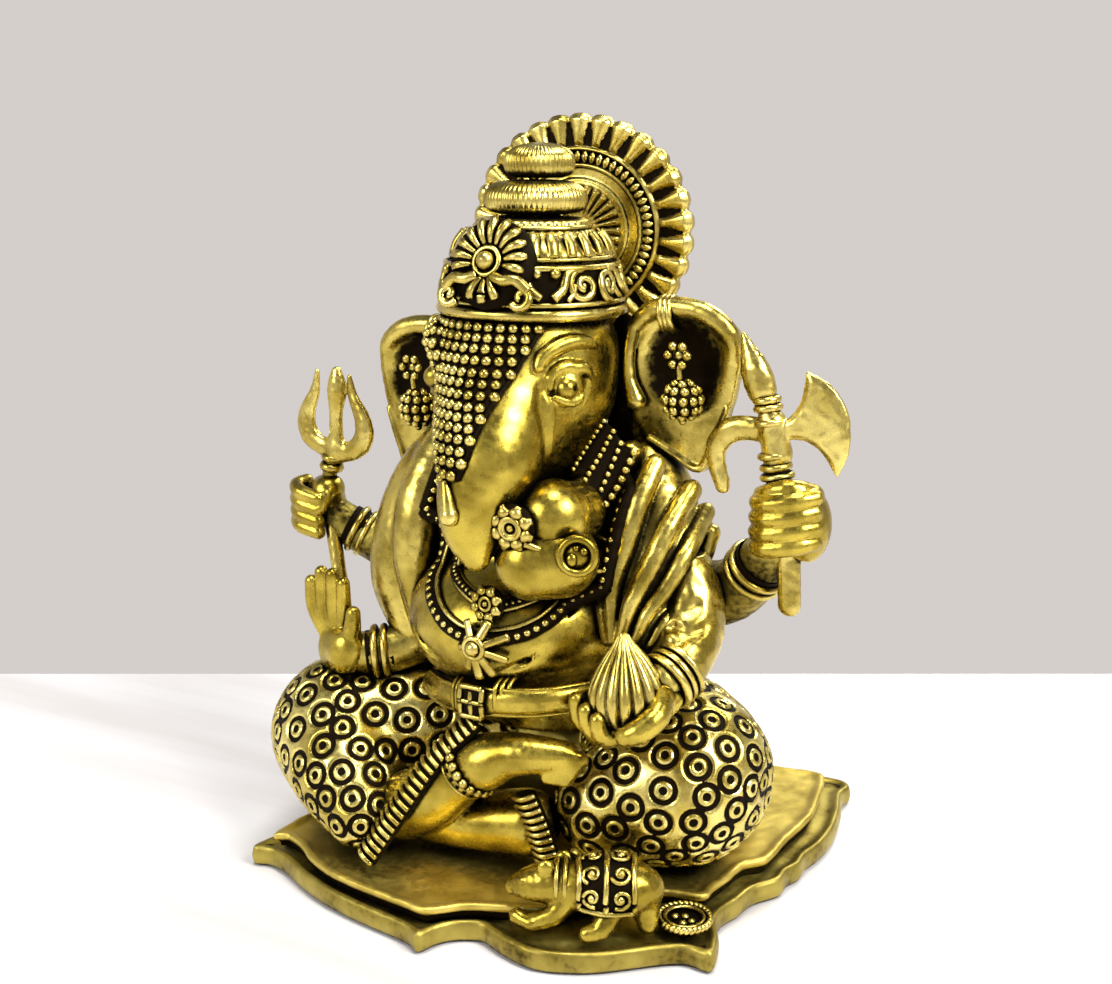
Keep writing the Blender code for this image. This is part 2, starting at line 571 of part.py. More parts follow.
def crown_tier(name, profile, sides):
    """One turned tier of the crown, slightly flattened from front to back."""
    bm = turned(profile, (0, 0, 0), sides=sides)
    bmesh.ops.scale(bm, vec=(1, CROWN_DEPTH, 1), verts=bm.verts)
    bmesh.ops.translate(bm, vec=(CROWN_X, CROWN_Y, CROWN_RIM_Z), verts=bm.verts)
    add_solid(name, bm, BRIGHT)


def build_crown():
    crown_tier("crown_band", CROWN_BAND, 26)
    crown_tier("crown_petals", CROWN_PETALS, 20)
    crown_tier("crown_lower_bun", CROWN_LOWER_BUN, 18)
    crown_tier("crown_upper_bun", CROWN_UPPER_BUN, 16)
    add_solid("crown_rosette", turned([(8.6, -2.2), (8.4, -0.2), (5.4, 0.9), (2.6, 2.2)],
                                      (-1.0, -20.6, 123.8), (0, -0.94, 0.34), 20), BRIGHT)


def build_halo():
    sides = 40
    turns = [2 * math.pi * i / sides for i in range(sides)]
    outline = [(HALO_X + HALO_WIDE * math.cos(t), HALO_Z + HALO_TALL * math.sin(t)) for t in turns]
    add_solid("halo", upright_plate(outline, HALO_Y, HALO_THICK), BRIGHT)


# ---------------------------------------------------------------- mouse

def build_mouse():
    join_solids("mouse", [
        ball((28.8, -30.0, 13.2), (10.2, 5.2, 5.3), 24, 14, 9),
        round_limb([(22.5, -32.6, 13.4, 4.2), (17.0, -34.8, 13.4, 3.4), (11.8, -36.2, 12.4, 1.6)],
                   10, across=(0, 0, 1)),
        round_limb([(22.8, -34.6, 11.4, 2.4), (20.0, -37.9, 8.3, 1.9), (16.1, -38.7, 7.0, 1.8)], 7,
                   across=(0.1, 0.05, 1)),
        round_limb([(30.2, -33.0, 9.8, 2.3), (29.2, -36.4, 7.5, 1.9), (27.1, -38.2, 6.7, 1.6)], 7,
                   across=(0.05, 0.1, 1)),
        round_limb([(35.0, -27.6, 10.6, 2.9), (36.1, -28.7, 7.1, 2.0)], 7, across=(0.1, 0.2, 1)),
    ], WARM)
    add_solid("mouse_cloth", limb([(25.0, -31.7, 13.6, 6.0, 6.1), (32.0, -28.5, 13.4, 6.2, 6.2)],
                                  11, across=(0.4, -0.9, 0), blunt=0.15), BRIGHT)
    add_solid("mouse_tail", ring_band((40.8, -22.8, 6.4), (0, 0, 1), 4.6, 1.1, 9),
              BRIGHT)


# ---------------------------------------------------------------- clearances

def trim_neighbours():
    """Give each solid its air gap: the first named is cut by the rest."""
    sides = ("right", "left")
    make_room("mouse", "base_plate", "base_step", "mouse_tail")
    make_room("mouse_tail", "base_plate", "base_step")
    make_room("mouse_cloth", "mouse", "base_step")
    make_room("hem_right", "base_step", "anklet_right")
    make_room("hem_left", "base_step", "mouse", "mouse_cloth")
    make_room("leg_right", "anklet_right", "hem_right", "base_step")
    make_room("foot_right", "anklet_right")
    make_room("leg_left", "base_step", "leg_right", "anklet_right", "foot_right", "hem_left",
              "hem_right")
    make_room("belt", "buckle")
    for pendant, cord in (("upper", "inner"), ("lower", "outer")):
        make_room(f"pendant_{pendant}", f"necklace_{cord}")
    make_room("tusk_left", "tusk_flower", "necklace_outer", "necklace_inner")
    make_room("trunk", "necklace_inner", "necklace_outer", "pendant_upper", "pendant_lower",
              "tusk_left", "tusk_flower", "brow_net")
    make_room("crown_band", "crown_rosette")
    make_room("crown_petals", "crown_rosette")
    make_room("brow_net", "crown_band", "crown_rosette")
    make_room("halo", "crown_band", "crown_petals")
    make_room("head", "brow_net", "trunk", "tusk_left", "eye_left", "eye_right", "crown_band")
    for side in sides:
        make_room(f"ear_{side}", f"ear_clip_{side}", f"earring_{side}", "crown_band", "head")
        make_room(f"shawl_{side}", "head", f"ear_{side}", f"earring_{side}",
                  f"bangles_front_{side}", "necklace_outer", "necklace_inner")
        make_room(f"arm_front_{side}", f"bangles_front_{side}", f"shawl_{side}")
        make_room(f"fist_rear_{side}", "trident", "axe")
        make_room(f"arm_rear_{side}", f"fist_rear_{side}", f"wristlet_rear_{side}",
                  f"shawl_{side}", f"arm_front_{side}", "trident", "axe")
    make_room("palm_right", "bangles_front_right")
    make_room("arm_front_right", "palm_right")
    make_room("hand_front_left", "modak", "bangles_front_left")
    make_room("arm_front_left", "hand_front_left", "modak", "wristlet_rear_left")
    make_room("torso", "buckle", "belt", "foot_right", "shawl_left", "shawl_right",
              "pendant_upper", "pendant_lower", "necklace_outer", "necklace_inner", "trunk",
              "tusk_left", "head", "arm_front_right", "arm_front_left", "arm_rear_right",
              "arm_rear_left")
    for side in sides:
        make_room(f"thigh_{side}", "base_step", "hem_right", "hem_left", "leg_right", "leg_left",
                  "foot_right", "anklet_right", "belt", "torso", "mouse", "mouse_cloth",
                  f"arm_front_{side}", f"bangles_front_{side}", "palm_right", "hand_front_left",
                  "modak")
    make_room("thigh_left", "thigh_right")
    make_room("seat_back", "base_step", "thigh_left", "thigh_right", "torso")


def main():
    clear_scene()
    build_base()
    build_legs()
    build_torso()
    build_necklaces()
    build_rear_arms()
    build_front_arms()
    build_trident()
    build_axe()
    build_head()
    build_ears()
    build_crown()
    build_halo()
    build_mouse()
    trim_neighbours()


main()
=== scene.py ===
import math

import bpy
import numpy as np
from mathutils import Euler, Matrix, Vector
from mathutils.bvhtree import BVHTree


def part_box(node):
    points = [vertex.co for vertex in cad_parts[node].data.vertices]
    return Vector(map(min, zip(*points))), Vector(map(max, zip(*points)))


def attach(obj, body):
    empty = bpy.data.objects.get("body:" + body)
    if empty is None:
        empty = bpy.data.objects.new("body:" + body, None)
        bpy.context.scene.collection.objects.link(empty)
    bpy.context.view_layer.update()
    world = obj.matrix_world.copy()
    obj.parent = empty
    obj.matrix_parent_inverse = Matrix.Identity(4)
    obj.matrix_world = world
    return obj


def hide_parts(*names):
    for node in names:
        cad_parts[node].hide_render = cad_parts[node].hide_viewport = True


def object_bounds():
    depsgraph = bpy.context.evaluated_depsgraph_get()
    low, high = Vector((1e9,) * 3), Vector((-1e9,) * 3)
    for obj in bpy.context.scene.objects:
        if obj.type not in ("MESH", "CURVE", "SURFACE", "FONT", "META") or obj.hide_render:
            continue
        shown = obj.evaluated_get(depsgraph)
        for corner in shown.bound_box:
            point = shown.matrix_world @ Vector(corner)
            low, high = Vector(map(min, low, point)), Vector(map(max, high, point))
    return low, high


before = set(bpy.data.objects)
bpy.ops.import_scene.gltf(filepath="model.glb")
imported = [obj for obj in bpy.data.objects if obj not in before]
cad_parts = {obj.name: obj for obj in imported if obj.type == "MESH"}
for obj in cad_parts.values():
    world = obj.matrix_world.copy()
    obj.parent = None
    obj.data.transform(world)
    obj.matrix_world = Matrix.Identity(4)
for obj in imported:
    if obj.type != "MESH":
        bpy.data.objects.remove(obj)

# Antique brass figurine on a stepped plate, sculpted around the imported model's nodes.
# Sculpting works in millimetres in the model's own frame: +Z up, the figure faces -Y, its own
# left is +X. Each sub-part is laid out from the middle of its node's box.

CAD_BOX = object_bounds()
MM = 0.001
# A distance, in millimetres, beyond any that is compared with it
FAR = 20.0


def middle(node):
    """Centre of a node's box, in millimetres."""
    low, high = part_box(node)
    return np.array(low + high) / 2 / MM


def box_of(*nodes):
    """Lowest and highest corner of several nodes together, in millimetres."""
    boxes = [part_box(node) for node in nodes]
    low = np.min([np.array(low) for low, high in boxes], axis=0) / MM
    high = np.max([np.array(high) for low, high in boxes], axis=0) / MM
    return low, high


def unit(vector):
    """A vector's direction."""
    vector = np.asarray(vector, float)
    return vector / np.linalg.norm(vector)


def smooth_step(low, high, value):
    """0 below low, 1 above high, and smooth between."""
    t = np.clip((value - low) / (high - low), 0.0, 1.0)
    return t * t * (3 - 2 * t)


def curve_through(points, step):
    """Catmull-Rom curve through points of any width, with about one sample per step."""
    points = np.asarray(points, float)
    ends = np.vstack((2 * points[0] - points[1], points, 2 * points[-1] - points[-2]))
    samples = []
    for i in range(1, len(ends) - 2):
        before, start, stop, after = ends[i - 1:i + 3]
        length = np.linalg.norm((stop - start)[:3])
        for t in np.arange(0, 1, 1 / max(1, round(length / step))):
            samples.append(0.5 * (2 * start + (stop - before) * t
                                  + (2 * before - 5 * start + 4 * stop - after) * t ** 2
                                  + (3 * start - before - 3 * stop + after) * t ** 3))
    samples.append(points[-1])
    return np.array(samples)


def even_points(points, gap):
    """Points a fixed gap apart along a smooth curve."""
    fine = curve_through(points, gap / 6)
    length = np.concatenate(([0], np.cumsum(np.linalg.norm(np.diff(fine[:, :3], axis=0), axis=1))))
    stops = np.linspace(0, length[-1], max(2, round(length[-1] / gap) + 1))
    return np.array([np.interp(stops, length, fine[:, k]) for k in range(fine.shape[1])]).T


# ---------------------------------------------------------------- meshes as arrays

HOOP_SIDES = 8


class Skin:
    """A quad mesh held as arrays, in millimetres, with one value per point for painting."""

    def __init__(self, points, quads):
        self.points = np.asarray(points, float)
        self.quads = np.asarray(quads, int)
        # Painted shade and patina per point: how far the colour is mixed towards near-black
        self.shade_and_patina = np.zeros(len(self.points))
        self.mark = np.full(len(self.points), FAR)

    def shade_and_patina_all_over(self, amount=1.0):
        """The same skin with the same painted shade and patina all over."""
        self.shade_and_patina[:] = amount
        return self

    def normals(self):
        """Unit normals of the points, weighted by face area."""
        a, b, c, d = (self.points[self.quads[:, k]] for k in range(4))
        flat = np.cross(c - a, d - b)
        total = np.zeros_like(self.points)
        for k in range(4):
            for axis in range(3):
                total[:, axis] += np.bincount(self.quads[:, k], flat[:, axis], len(self.points))
        return total / np.maximum(np.linalg.norm(total, axis=1), 1e-9)[:, None]

    def average(self, values):
        """Mean of each point's neighbours."""
        count = len(self.points)
        total = np.zeros_like(values)
        number = np.zeros(count)
        for k in range(4):
            here, there = self.quads[:, k], self.quads[:, (k + 1) % 4]
            for one, other in ((here, there), (there, here)):
                number += np.bincount(one, minlength=count)
                for axis in range(values.shape[1]):
                    total[:, axis] += np.bincount(one, values[other, axis], count)
        return total / np.maximum(number, 1)[:, None]

    def relax(self, rounds, share=0.5):
        """Even out the surface."""
        for _ in range(rounds):
            self.points += share * (self.average(self.points) - self.points)
        return self

    def press(self, height):
        """Move every point along its normal."""
        self.points += self.normals() * np.asarray(height)[:, None]
        return self

    def hollows(self, rounds, depth):
        """Paint shade and patina where the surface lies below its surroundings by about depth."""
        smooth = self.points.copy()
        for _ in range(rounds):
            smooth = self.average(smooth)
        rise = np.sum((smooth - self.points) * self.normals(), axis=1)
        self.shade_and_patina = np.maximum(self.shade_and_patina, smooth_step(0.15 * depth, depth, rise))
        return self

    def tree(self):
        """A tree for ray casts and nearest points."""
        return BVHTree.FromPolygons(self.points.tolist(), self.quads.tolist())


def joined(*skins):
    """Several skins as one."""
    points, quads, shade_and_patina, mark, start = [], [], [], [], 0
    for skin in skins:
        points.append(skin.points)
        quads.append(skin.quads + start)
        shade_and_patina.append(skin.shade_and_patina)
        mark.append(skin.mark)
        start += len(skin.points)
    whole = Skin(np.vstack(points), np.vstack(quads))
    whole.shade_and_patina = np.concatenate(shade_and_patina)
    whole.mark = np.concatenate(mark)
    return whole


def sheet_of(rows, around=False):
    """Quads over a grid of points, shape (rows, columns, 3); around joins the columns."""
    rows = np.asarray(rows, float)
    m, n = rows.shape[:2]
    index = np.arange(m * n).reshape(m, n)
    if around:
        index = np.hstack((index, index[:, :1]))
    quads = np.stack((index[:-1, :-1], index[:-1, 1:], index[1:, 1:], index[1:, :-1]), -1)
    return Skin(rows.reshape(-1, 3), quads.reshape(-1, 4))


def tube(rows, start, stop):
    """Rings of points joined into a tube that closes on a point at both ends."""
    sides = len(rows[0])
    ends = [np.repeat(np.array([end]), sides, 0) for end in (start, stop)]
    return sheet_of(np.array([ends[0], *rows, ends[1]]), around=True)


def frame_of(direction, up=(0, 0, 1)):
    """Side, up and forward unit vectors for a direction."""
    forward = unit(direction)
    side = np.cross(up, forward)
    if np.linalg.norm(side) < 1e-4:
        side = np.cross((1, 0, 0), forward)
    side = unit(side)
    return side, np.cross(forward, side), forward


def turned(profile, centre, axis=(0, 0, 1), sides=48, ripple=None):
    """A profile of (radius, height) turned about an axis; ripple changes the radius."""
    side, over, forward = frame_of(axis)
    angle = np.linspace(0, 2 * np.pi, sides, endpoint=False)
    ring = np.outer(np.cos(angle), side) + np.outer(np.sin(angle), over)
    rows = []
    for radius, height in profile:
        reach = np.full(sides, float(radius))
        if ripple is not None:
            reach = ripple(angle, reach, height)
        rows.append(centre + ring * reach[:, None] + forward * height)
    return sheet_of(rows, around=True)


def bead(centre, radius, squash=1.0, direction=(0, 0, 1), long=1.0, sides=10, rows=6):
    """A small ball, pressed along direction or stretched across it."""
    tilt = np.linspace(0, np.pi, rows)
    profile = [(max(radius * math.sin(t) * long, 0.01), -radius * squash * math.cos(t))
               for t in tilt]
    return turned(profile, np.asarray(centre, float), direction, sides)


def hoop(centre, axis, radius, thick, sides=28):
    """A round ring of round wire."""
    profile = [(radius + thick * math.cos(b), thick * math.sin(b))
               for b in np.linspace(0, 2 * np.pi, HOOP_SIDES + 1)]
    return turned(profile, np.asarray(centre, float), axis, sides)


def wire(points, radius, sides=8, step=0.6, taper=None, flat=1.0, up=(0, 0, 1)):
    """A tube along a smooth curve.

    A fourth column gives the radius at each point; taper scales it from share 0 to 1 of the way.
    """
    path = curve_through(points, step)
    run = np.gradient(path[:, :3], axis=0)
    share = np.linspace(0, 1, len(path))
    angle = np.linspace(0, 2 * np.pi, sides, endpoint=False)
    rows = []
    for spot, direction, t in zip(path, run, share):
        side, over, _ = frame_of(direction, up)
        reach = radius if taper is None else radius * taper(t)
        if path.shape[1] > 3:
            reach = spot[3]
        rows.append(spot[:3] + reach * (np.outer(np.cos(angle), side)
                                        + flat * np.outer(np.sin(angle), over)))
    return tube(rows, path[0, :3], path[-1, :3])


# ---------------------------------------------------------------- clay: distance fields


def flat_distance(outline, x, y):
    """Distance from grid points to a closed outline, negative inside."""
    best = np.full(np.broadcast(x, y).shape, FAR ** 2)
    inside = np.zeros(best.shape, bool)
    for (ax, ay), (bx, by) in zip(outline, np.roll(outline, -1, axis=0)):
        dx, dy = bx - ax, by - ay
        t = np.clip(((x - ax) * dx + (y - ay) * dy) / (dx * dx + dy * dy), 0, 1)
        best = np.minimum(best, (x - ax - t * dx) ** 2 + (y - ay - t * dy) ** 2)
        if abs(dy) > 1e-9:
            inside ^= ((ay > y) != (by > y)) & (x < dx * (y - ay) / dy + ax)
    return np.where(inside, -1, 1) * np.sqrt(best)


class Clay:
    """Soft shapes melted together in a distance field, then given a skin."""

    def __init__(self, *nodes, cell=0.45, margin=3.0):
        low, high = box_of(*nodes)
        self.home = middle(nodes[0])
        self.low = low - margin
        self.cell = cell
        counts = np.ceil((high - low + 2 * margin) / cell).astype(int) + 1
        self.axes = [self.low[k] + cell * np.arange(counts[k]) for k in range(3)]
        self.field = np.full(counts, FAR, np.float32)

    def block(self, low, high):
        """The stretch of the grid between two corners, and its open coordinates."""
        cut = []
        for axis, start, stop in zip(self.axes, low, high):
            first, last = np.searchsorted(axis, (start, stop))
            cut.append(slice(max(first, 1), max(min(last, len(axis) - 1), max(first, 1))))
        x = self.axes[0][cut[0]][:, None, None]
        y = self.axes[1][cut[1]][None, :, None]
        z = self.axes[2][cut[2]][None, None, :]
        return tuple(cut), (x, y, z)

    def melt(self, cut, distance, soft):
        """Add a shape, rounding the joint by soft."""
        old = self.field[cut]
        share = np.clip(0.5 + 0.5 * (old - distance) / soft, 0, 1)
        self.field[cut] = old + (distance - old) * share - soft * share * (1 - share)

    def dig(self, cut, distance, soft):
        """Cut a shape away, rounding the edge by soft."""
        old = self.field[cut]
        share = np.clip(0.5 - 0.5 * (old + distance) / soft, 0, 1)
        self.field[cut] = old + (-distance - old) * share + soft * share * (1 - share)

    def blob(self, centre, radii, turn=(0, 0, 0), soft=2.0, cut_away=False):
        """An ellipsoid; turn is in degrees about X, Y and Z."""
        centre = self.home + centre
        reach = max(radii) + soft + 1
        cut, (x, y, z) = self.block(centre - reach, centre + reach)
        spin = np.array(Euler([math.radians(t) for t in turn]).to_matrix()).T
        x, y, z = x - centre[0], y - centre[1], z - centre[2]
        local = [spin[k, 0] * x + spin[k, 1] * y + spin[k, 2] * z for k in range(3)]
        near = np.sqrt(sum((part / r) ** 2 for part, r in zip(local, radii)))
        steep = np.sqrt(sum((part / r ** 2) ** 2 for part, r in zip(local, radii)))
        distance = near * (near - 1) / np.maximum(steep, 1e-6)
        (self.dig if cut_away else self.melt)(cut, distance, soft)

    def rod(self, points, soft=1.0, step=1.5, flat=None, cut_away=False):
        """A limb through (x, y, z, radius) points; flat is (axis, share) to press it."""
        path = curve_through(points, step)
        spots = path[:, :3] + self.home
        radius = path[:, 3]
        reach = radius.max() * (1.0 if flat is None else 1.0 / min(flat[1], 1.0)) + soft + 1
        cut, (x, y, z) = self.block(spots.min(0) - reach, spots.max(0) + reach)
        shape = np.broadcast_shapes(x.shape, y.shape, z.shape)
        distance = np.full(shape, FAR, np.float32)
        if flat is not None:
            pull, share = unit(flat[0]), flat[1]
        for k in range(len(path) - 1):
            start, along = spots[k], spots[k + 1] - spots[k]
            low = np.minimum(start, spots[k + 1]) - reach
            high = np.maximum(start, spots[k + 1]) + reach
            sub = tuple(slice(*np.searchsorted(axis[whole], ends))
                        for axis, whole, *ends in zip(self.axes, cut, low, high))
            px = x[sub[0]] - start[0]
            py = y[:, sub[1]] - start[1]
            pz = z[:, :, sub[2]] - start[2]
            if flat is not None:
                height = px * pull[0] + py * pull[1] + pz * pull[2]
                stretch = height * (1 / share - 1)
                px, py, pz = px + stretch * pull[0], py + stretch * pull[1], pz + stretch * pull[2]
                along = along + pull * (along @ pull) * (1 / share - 1)
            t = np.clip((px * along[0] + py * along[1] + pz * along[2]) / (along @ along), 0, 1)
            gap = np.sqrt((px - t * along[0]) ** 2 + (py - t * along[1]) ** 2
                          + (pz - t * along[2]) ** 2)
            gap -= radius[k] + t * (radius[k + 1] - radius[k])
            distance[sub] = np.minimum(distance[sub], gap)
        if flat is not None:
            distance = distance * min(1.0, math.sqrt(share))
        (self.dig if cut_away else self.melt)(cut, distance, soft)

    def slab(self, outline, level, half, bevel, soft=0.8):
        """An upright plate from an (x, z) outline, around y = level, thinner at its edge."""
        outline = np.asarray(outline, float) + self.home[[0, 2]]
        level = self.home[1] + level
        reach = half + soft + 1
        low, high = (np.insert(corner, 1, level) for corner in (outline.min(0), outline.max(0)))
        cut, (x, y, z) = self.block(low - reach, high + reach)
        edge = flat_distance(outline, x[:, 0], z[0])[:, None, :]
        thick = half - bevel * (1 - smooth_step(0, 2.5 * bevel, -edge))
        self.melt(cut, np.maximum(edge, np.abs(y - level) - thick), soft)

    def sample(self, spots):
        """Field values between grid points."""
        where = (spots - self.low) / self.cell
        base = np.clip(np.floor(where).astype(int), 0, np.array(self.field.shape) - 2)
        part = where - base
        total = np.zeros(len(spots))
        for corner in np.ndindex(2, 2, 2):
            weight = np.prod(np.where(corner, part, 1 - part), axis=1)
            total += weight * self.field[tuple((base + corner).T)]
        return total

    def settled(self, path, lift=0.0, step=1.2):
        """A path from home moved onto the surface, and lifted off it; radii are kept."""
        path = curve_through(path, step)
        spots = path[:, :3] + self.home
        for _ in range(12):
            slope = np.stack([self.sample(spots + d) - self.sample(spots - d)
                              for d in 0.5 * self.cell * np.eye(3)], 1) / self.cell
            slope /= np.maximum(np.linalg.norm(slope, axis=1), 0.2)[:, None]
            spots -= 0.7 * slope * self.sample(spots)[:, None]
        return np.hstack((spots + slope * lift - self.home, path[:, 3:]))

    def keep_above(self, height, soft=0.3):
        """Cut everything below a level height."""
        z = self.axes[2][None, None, :]
        distance = np.broadcast_to(height - z, self.field.shape)
        share = np.clip(0.5 - 0.5 * (self.field - distance) / soft, 0, 1)
        self.field = self.field + (distance - self.field) * share + soft * share * (1 - share)

    def skin(self):
        """Surface-nets mesh of the field's zero level."""
        field = self.field
        for axis in range(3):
            edge = np.moveaxis(field, axis, 0)
            edge[0] = FAR
            edge[-1] = FAR
        strides = np.array([field.shape[1] * field.shape[2], field.shape[2], 1])
        cells, places, squares = [], [], []
        for axis in range(3):
            along = np.moveaxis(field, axis, 0)
            crossing = (along[:-1] < 0) != (along[1:] < 0)
            found = np.array(np.nonzero(crossing))
            start = along[:-1][crossing]
            share = start / (start - along[1:][crossing])
            spot = np.empty((found.shape[1], 3))
            others = [k for k in range(3) if k != axis]
            spot[:, axis] = found[0] + share
            spot[:, others[0]] = found[1]
            spot[:, others[1]] = found[2]
            whole = np.floor(spot).astype(int)
            whole[:, axis] = found[0]
            base = whole @ strides
            one, two = strides[others[0]], strides[others[1]]
            around = np.stack((base - one - two, base - two, base, base - one), 1)
            outward = (start < 0) == (axis != 1)
            around[~outward] = around[~outward][:, ::-1]
            squares.append(around)
            cells.append(around.reshape(-1))
            places.append(np.repeat(spot, 4, 0))
        cells, places = np.concatenate(cells), np.vstack(places)
        kept, number = np.unique(cells, return_inverse=True)
        count = np.bincount(number)
        points = np.stack([np.bincount(number, places[:, k]) / count for k in range(3)], 1)
        quads = np.searchsorted(kept, np.vstack(squares))
        return Skin(self.low + points * self.cell, quads).relax(1)


# ---------------------------------------------------------------- materials


def feed(tree, socket, value):
    """Link a socket to another node's output, or set it to a constant."""
    if isinstance(value, bpy.types.NodeSocket):
        tree.links.new(value, socket)
    else:
        socket.default_value = value


def add_node(tree, kind, **sockets):
    """A shader node with some of its inputs set; keys are socket names with _ for a space."""
    node = tree.nodes.new(kind)
    for name, value in sockets.items():
        feed(tree, node.inputs[name.replace("_", " ")], value)
    return node


def spread(tree, value, low, high, out_low=0.0, out_high=1.0):
    """Map Range from low..high to out_low..out_high, smoothed."""
    node = add_node(tree, "ShaderNodeMapRange", Value=value, From_Min=low, From_Max=high,
                    To_Min=out_low, To_Max=out_high)
    node.interpolation_type = "SMOOTHSTEP"
    return node.outputs["Result"]


def sum_of(tree, one, other, operation="ADD"):
    """A Math node, ADD unless another operation is named."""
    node = tree.nodes.new("ShaderNodeMath")
    node.operation = operation
    for socket, value in zip(node.inputs, (one, other)):
        feed(tree, socket, value)
    return node.outputs[0]


def blend_of(tree, share, one, other):
    """A colour mix from one to other by share."""
    node = tree.nodes.new("ShaderNodeMix")
    node.data_type = "RGBA"
    for index, value in ((0, share), (6, one), (7, other)):
        feed(tree, node.inputs[index], value)
    return node.outputs[2]


def grain(tree, where, scale, detail=2.0):
    """A noise texture's value."""
    node = add_node(tree, "ShaderNodeTexNoise", Vector=where, Scale=scale, Detail=detail)
    return node.outputs[0]


def attribute(tree, name):
    """A per-point value stored on the mesh."""
    node = tree.nodes.new("ShaderNodeAttribute")
    node.attribute_name = name
    return node.outputs["Fac"]


# Stamped rings: inner and outer radius of the groove, and of the dot (from below zero)
RING_GROOVE = (1.72, 2.80)
RING_DOT = (-1.0, 0.86)
# Near-black that the metal is mixed to: patina in hollows and painted shade in creases, under parts
# and between them
PATINA_AND_SHADE = (0.012, 0.008, 0.004, 1)
PATINA_ROUGHNESS = 0.62
# Painted shade from ambient occlusion: reach in millimetres, and the openness where darkening starts
# and where it is full
SHADE_CREASES = ((1.6, 0.84, 0.46), (7.0, 0.66, 0.26))
PLATE_SHADE_CREASES = ((1.6, 0.62, 0.30), (7.0, 0.42, 0.10))
SHADE_SAMPLES = 8
MOTTLE_SCALE = 130.0
SPECK_SCALE = 900.0
PIT_DEPTH = 0.12


def band(tree, value, low, high, blur=0.12):
    """1 between low and high, with soft ends."""
    return sum_of(tree, spread(tree, value, low - blur, low + blur),
                  spread(tree, value, high + blur, high - blur), "MULTIPLY")


def patina_and_shade_brass(name, light, deep, roughness, grime, pits, stroke=None, ringed=False,
                 occlusion_shade=SHADE_CREASES):
    """Antique brass: worn metal on top, near-black patina and painted shade wherever a surface is
    hollow or hemmed in by other parts.

    light and deep are the metal's two tones; grime and pits are how patchy and how pitted it is.
    """
    material = bpy.data.materials.new(name)
    material.use_nodes = True
    tree = material.node_tree
    shader = tree.nodes["Principled BSDF"]
    where = tree.nodes.new("ShaderNodeTexCoord").outputs["Object"]
    mottle = grain(tree, where, MOTTLE_SCALE)
    speck = grain(tree, where, SPECK_SCALE, 3.0)
    crease_shade = None
    # Painted shade: ambient occlusion at each reach darkens creases and the gaps between parts
    for reach, open_at, shut_at in occlusion_shade:
        shade = add_node(tree, "ShaderNodeAmbientOcclusion", Distance=reach * MM)
        shade.samples = SHADE_SAMPLES
        dark = spread(tree, shade.outputs["AO"], open_at, shut_at)
        crease_shade = dark if crease_shade is None else sum_of(tree, crease_shade, dark, "MAXIMUM")
    shade_and_patina = sum_of(tree, attribute(tree, "shade_and_patina"), crease_shade, "MAXIMUM")
    if ringed:
        mark = attribute(tree, "mark")
        for low, high in (RING_GROOVE, RING_DOT):
            shade_and_patina = sum_of(tree, shade_and_patina, band(tree, mark, low, high), "MAXIMUM")
    patchy = sum_of(tree, spread(tree, mottle, 0.35, 0.75, -grime, grime),
                    spread(tree, speck, 0.35, 0.7, -0.10, 0.12))
    shade_and_patina = spread(tree, sum_of(tree, shade_and_patina, patchy), 0.18, 0.72)
    metal = blend_of(tree, spread(tree, mottle, 0.30, 0.72), light, deep)
    tree.links.new(blend_of(tree, shade_and_patina, metal, PATINA_AND_SHADE), shader.inputs["Base Color"])
    shader.inputs["Metallic"].default_value = 1.0
    rough = sum_of(tree, spread(tree, shade_and_patina, 0.0, 1.0, roughness, PATINA_ROUGHNESS),
                   spread(tree, speck, 0.3, 0.7, -0.05, 0.07))
    tree.links.new(rough, shader.inputs["Roughness"])
    relief = speck
    if stroke is not None:
        stretch = add_node(tree, "ShaderNodeMapping", Vector=where, Scale=stroke)
        relief = sum_of(tree, relief, grain(tree, stretch.outputs[0], 1.0, 3.0))
    bump = add_node(tree, "ShaderNodeBump", Strength=pits, Distance=PIT_DEPTH * MM, Height=relief)
    tree.links.new(bump.outputs[0], shader.inputs["Normal"])
    return material


SKIN = patina_and_shade_brass("smooth_brass", (0.60, 0.46, 0.07, 1), (0.26, 0.185, 0.02, 1), 0.27, 0.06, 0.05)
TRIM = patina_and_shade_brass("worn_brass", (0.80, 0.66, 0.19, 1), (0.42, 0.31, 0.05, 1), 0.27, 0.14, 0.16)
CLOTH = patina_and_shade_brass("cloth_brass", (0.70, 0.56, 0.13, 1), (0.30, 0.22, 0.03, 1), 0.28, 0.18, 0.30)
PLATE = patina_and_shade_brass("plate_brass", (0.74, 0.58, 0.13, 1), (0.46, 0.34, 0.06, 1), 0.46, 0.10, 0.30,
                     stroke=(70, 900, 70), occlusion_shade=PLATE_SHADE_CREASES)
SIDE = patina_and_shade_brass("olive_brass", (0.46, 0.37, 0.08, 1), (0.24, 0.18, 0.03, 1), 0.44, 0.16, 0.30,
                    occlusion_shade=PLATE_SHADE_CREASES)
RINGED = patina_and_shade_brass("ringed_brass", (0.84, 0.71, 0.23, 1), (0.50, 0.38, 0.07, 1), 0.28, 0.12, 0.22,
                      ringed=True)


# ---------------------------------------------------------------- making pieces

WELD = 0.001


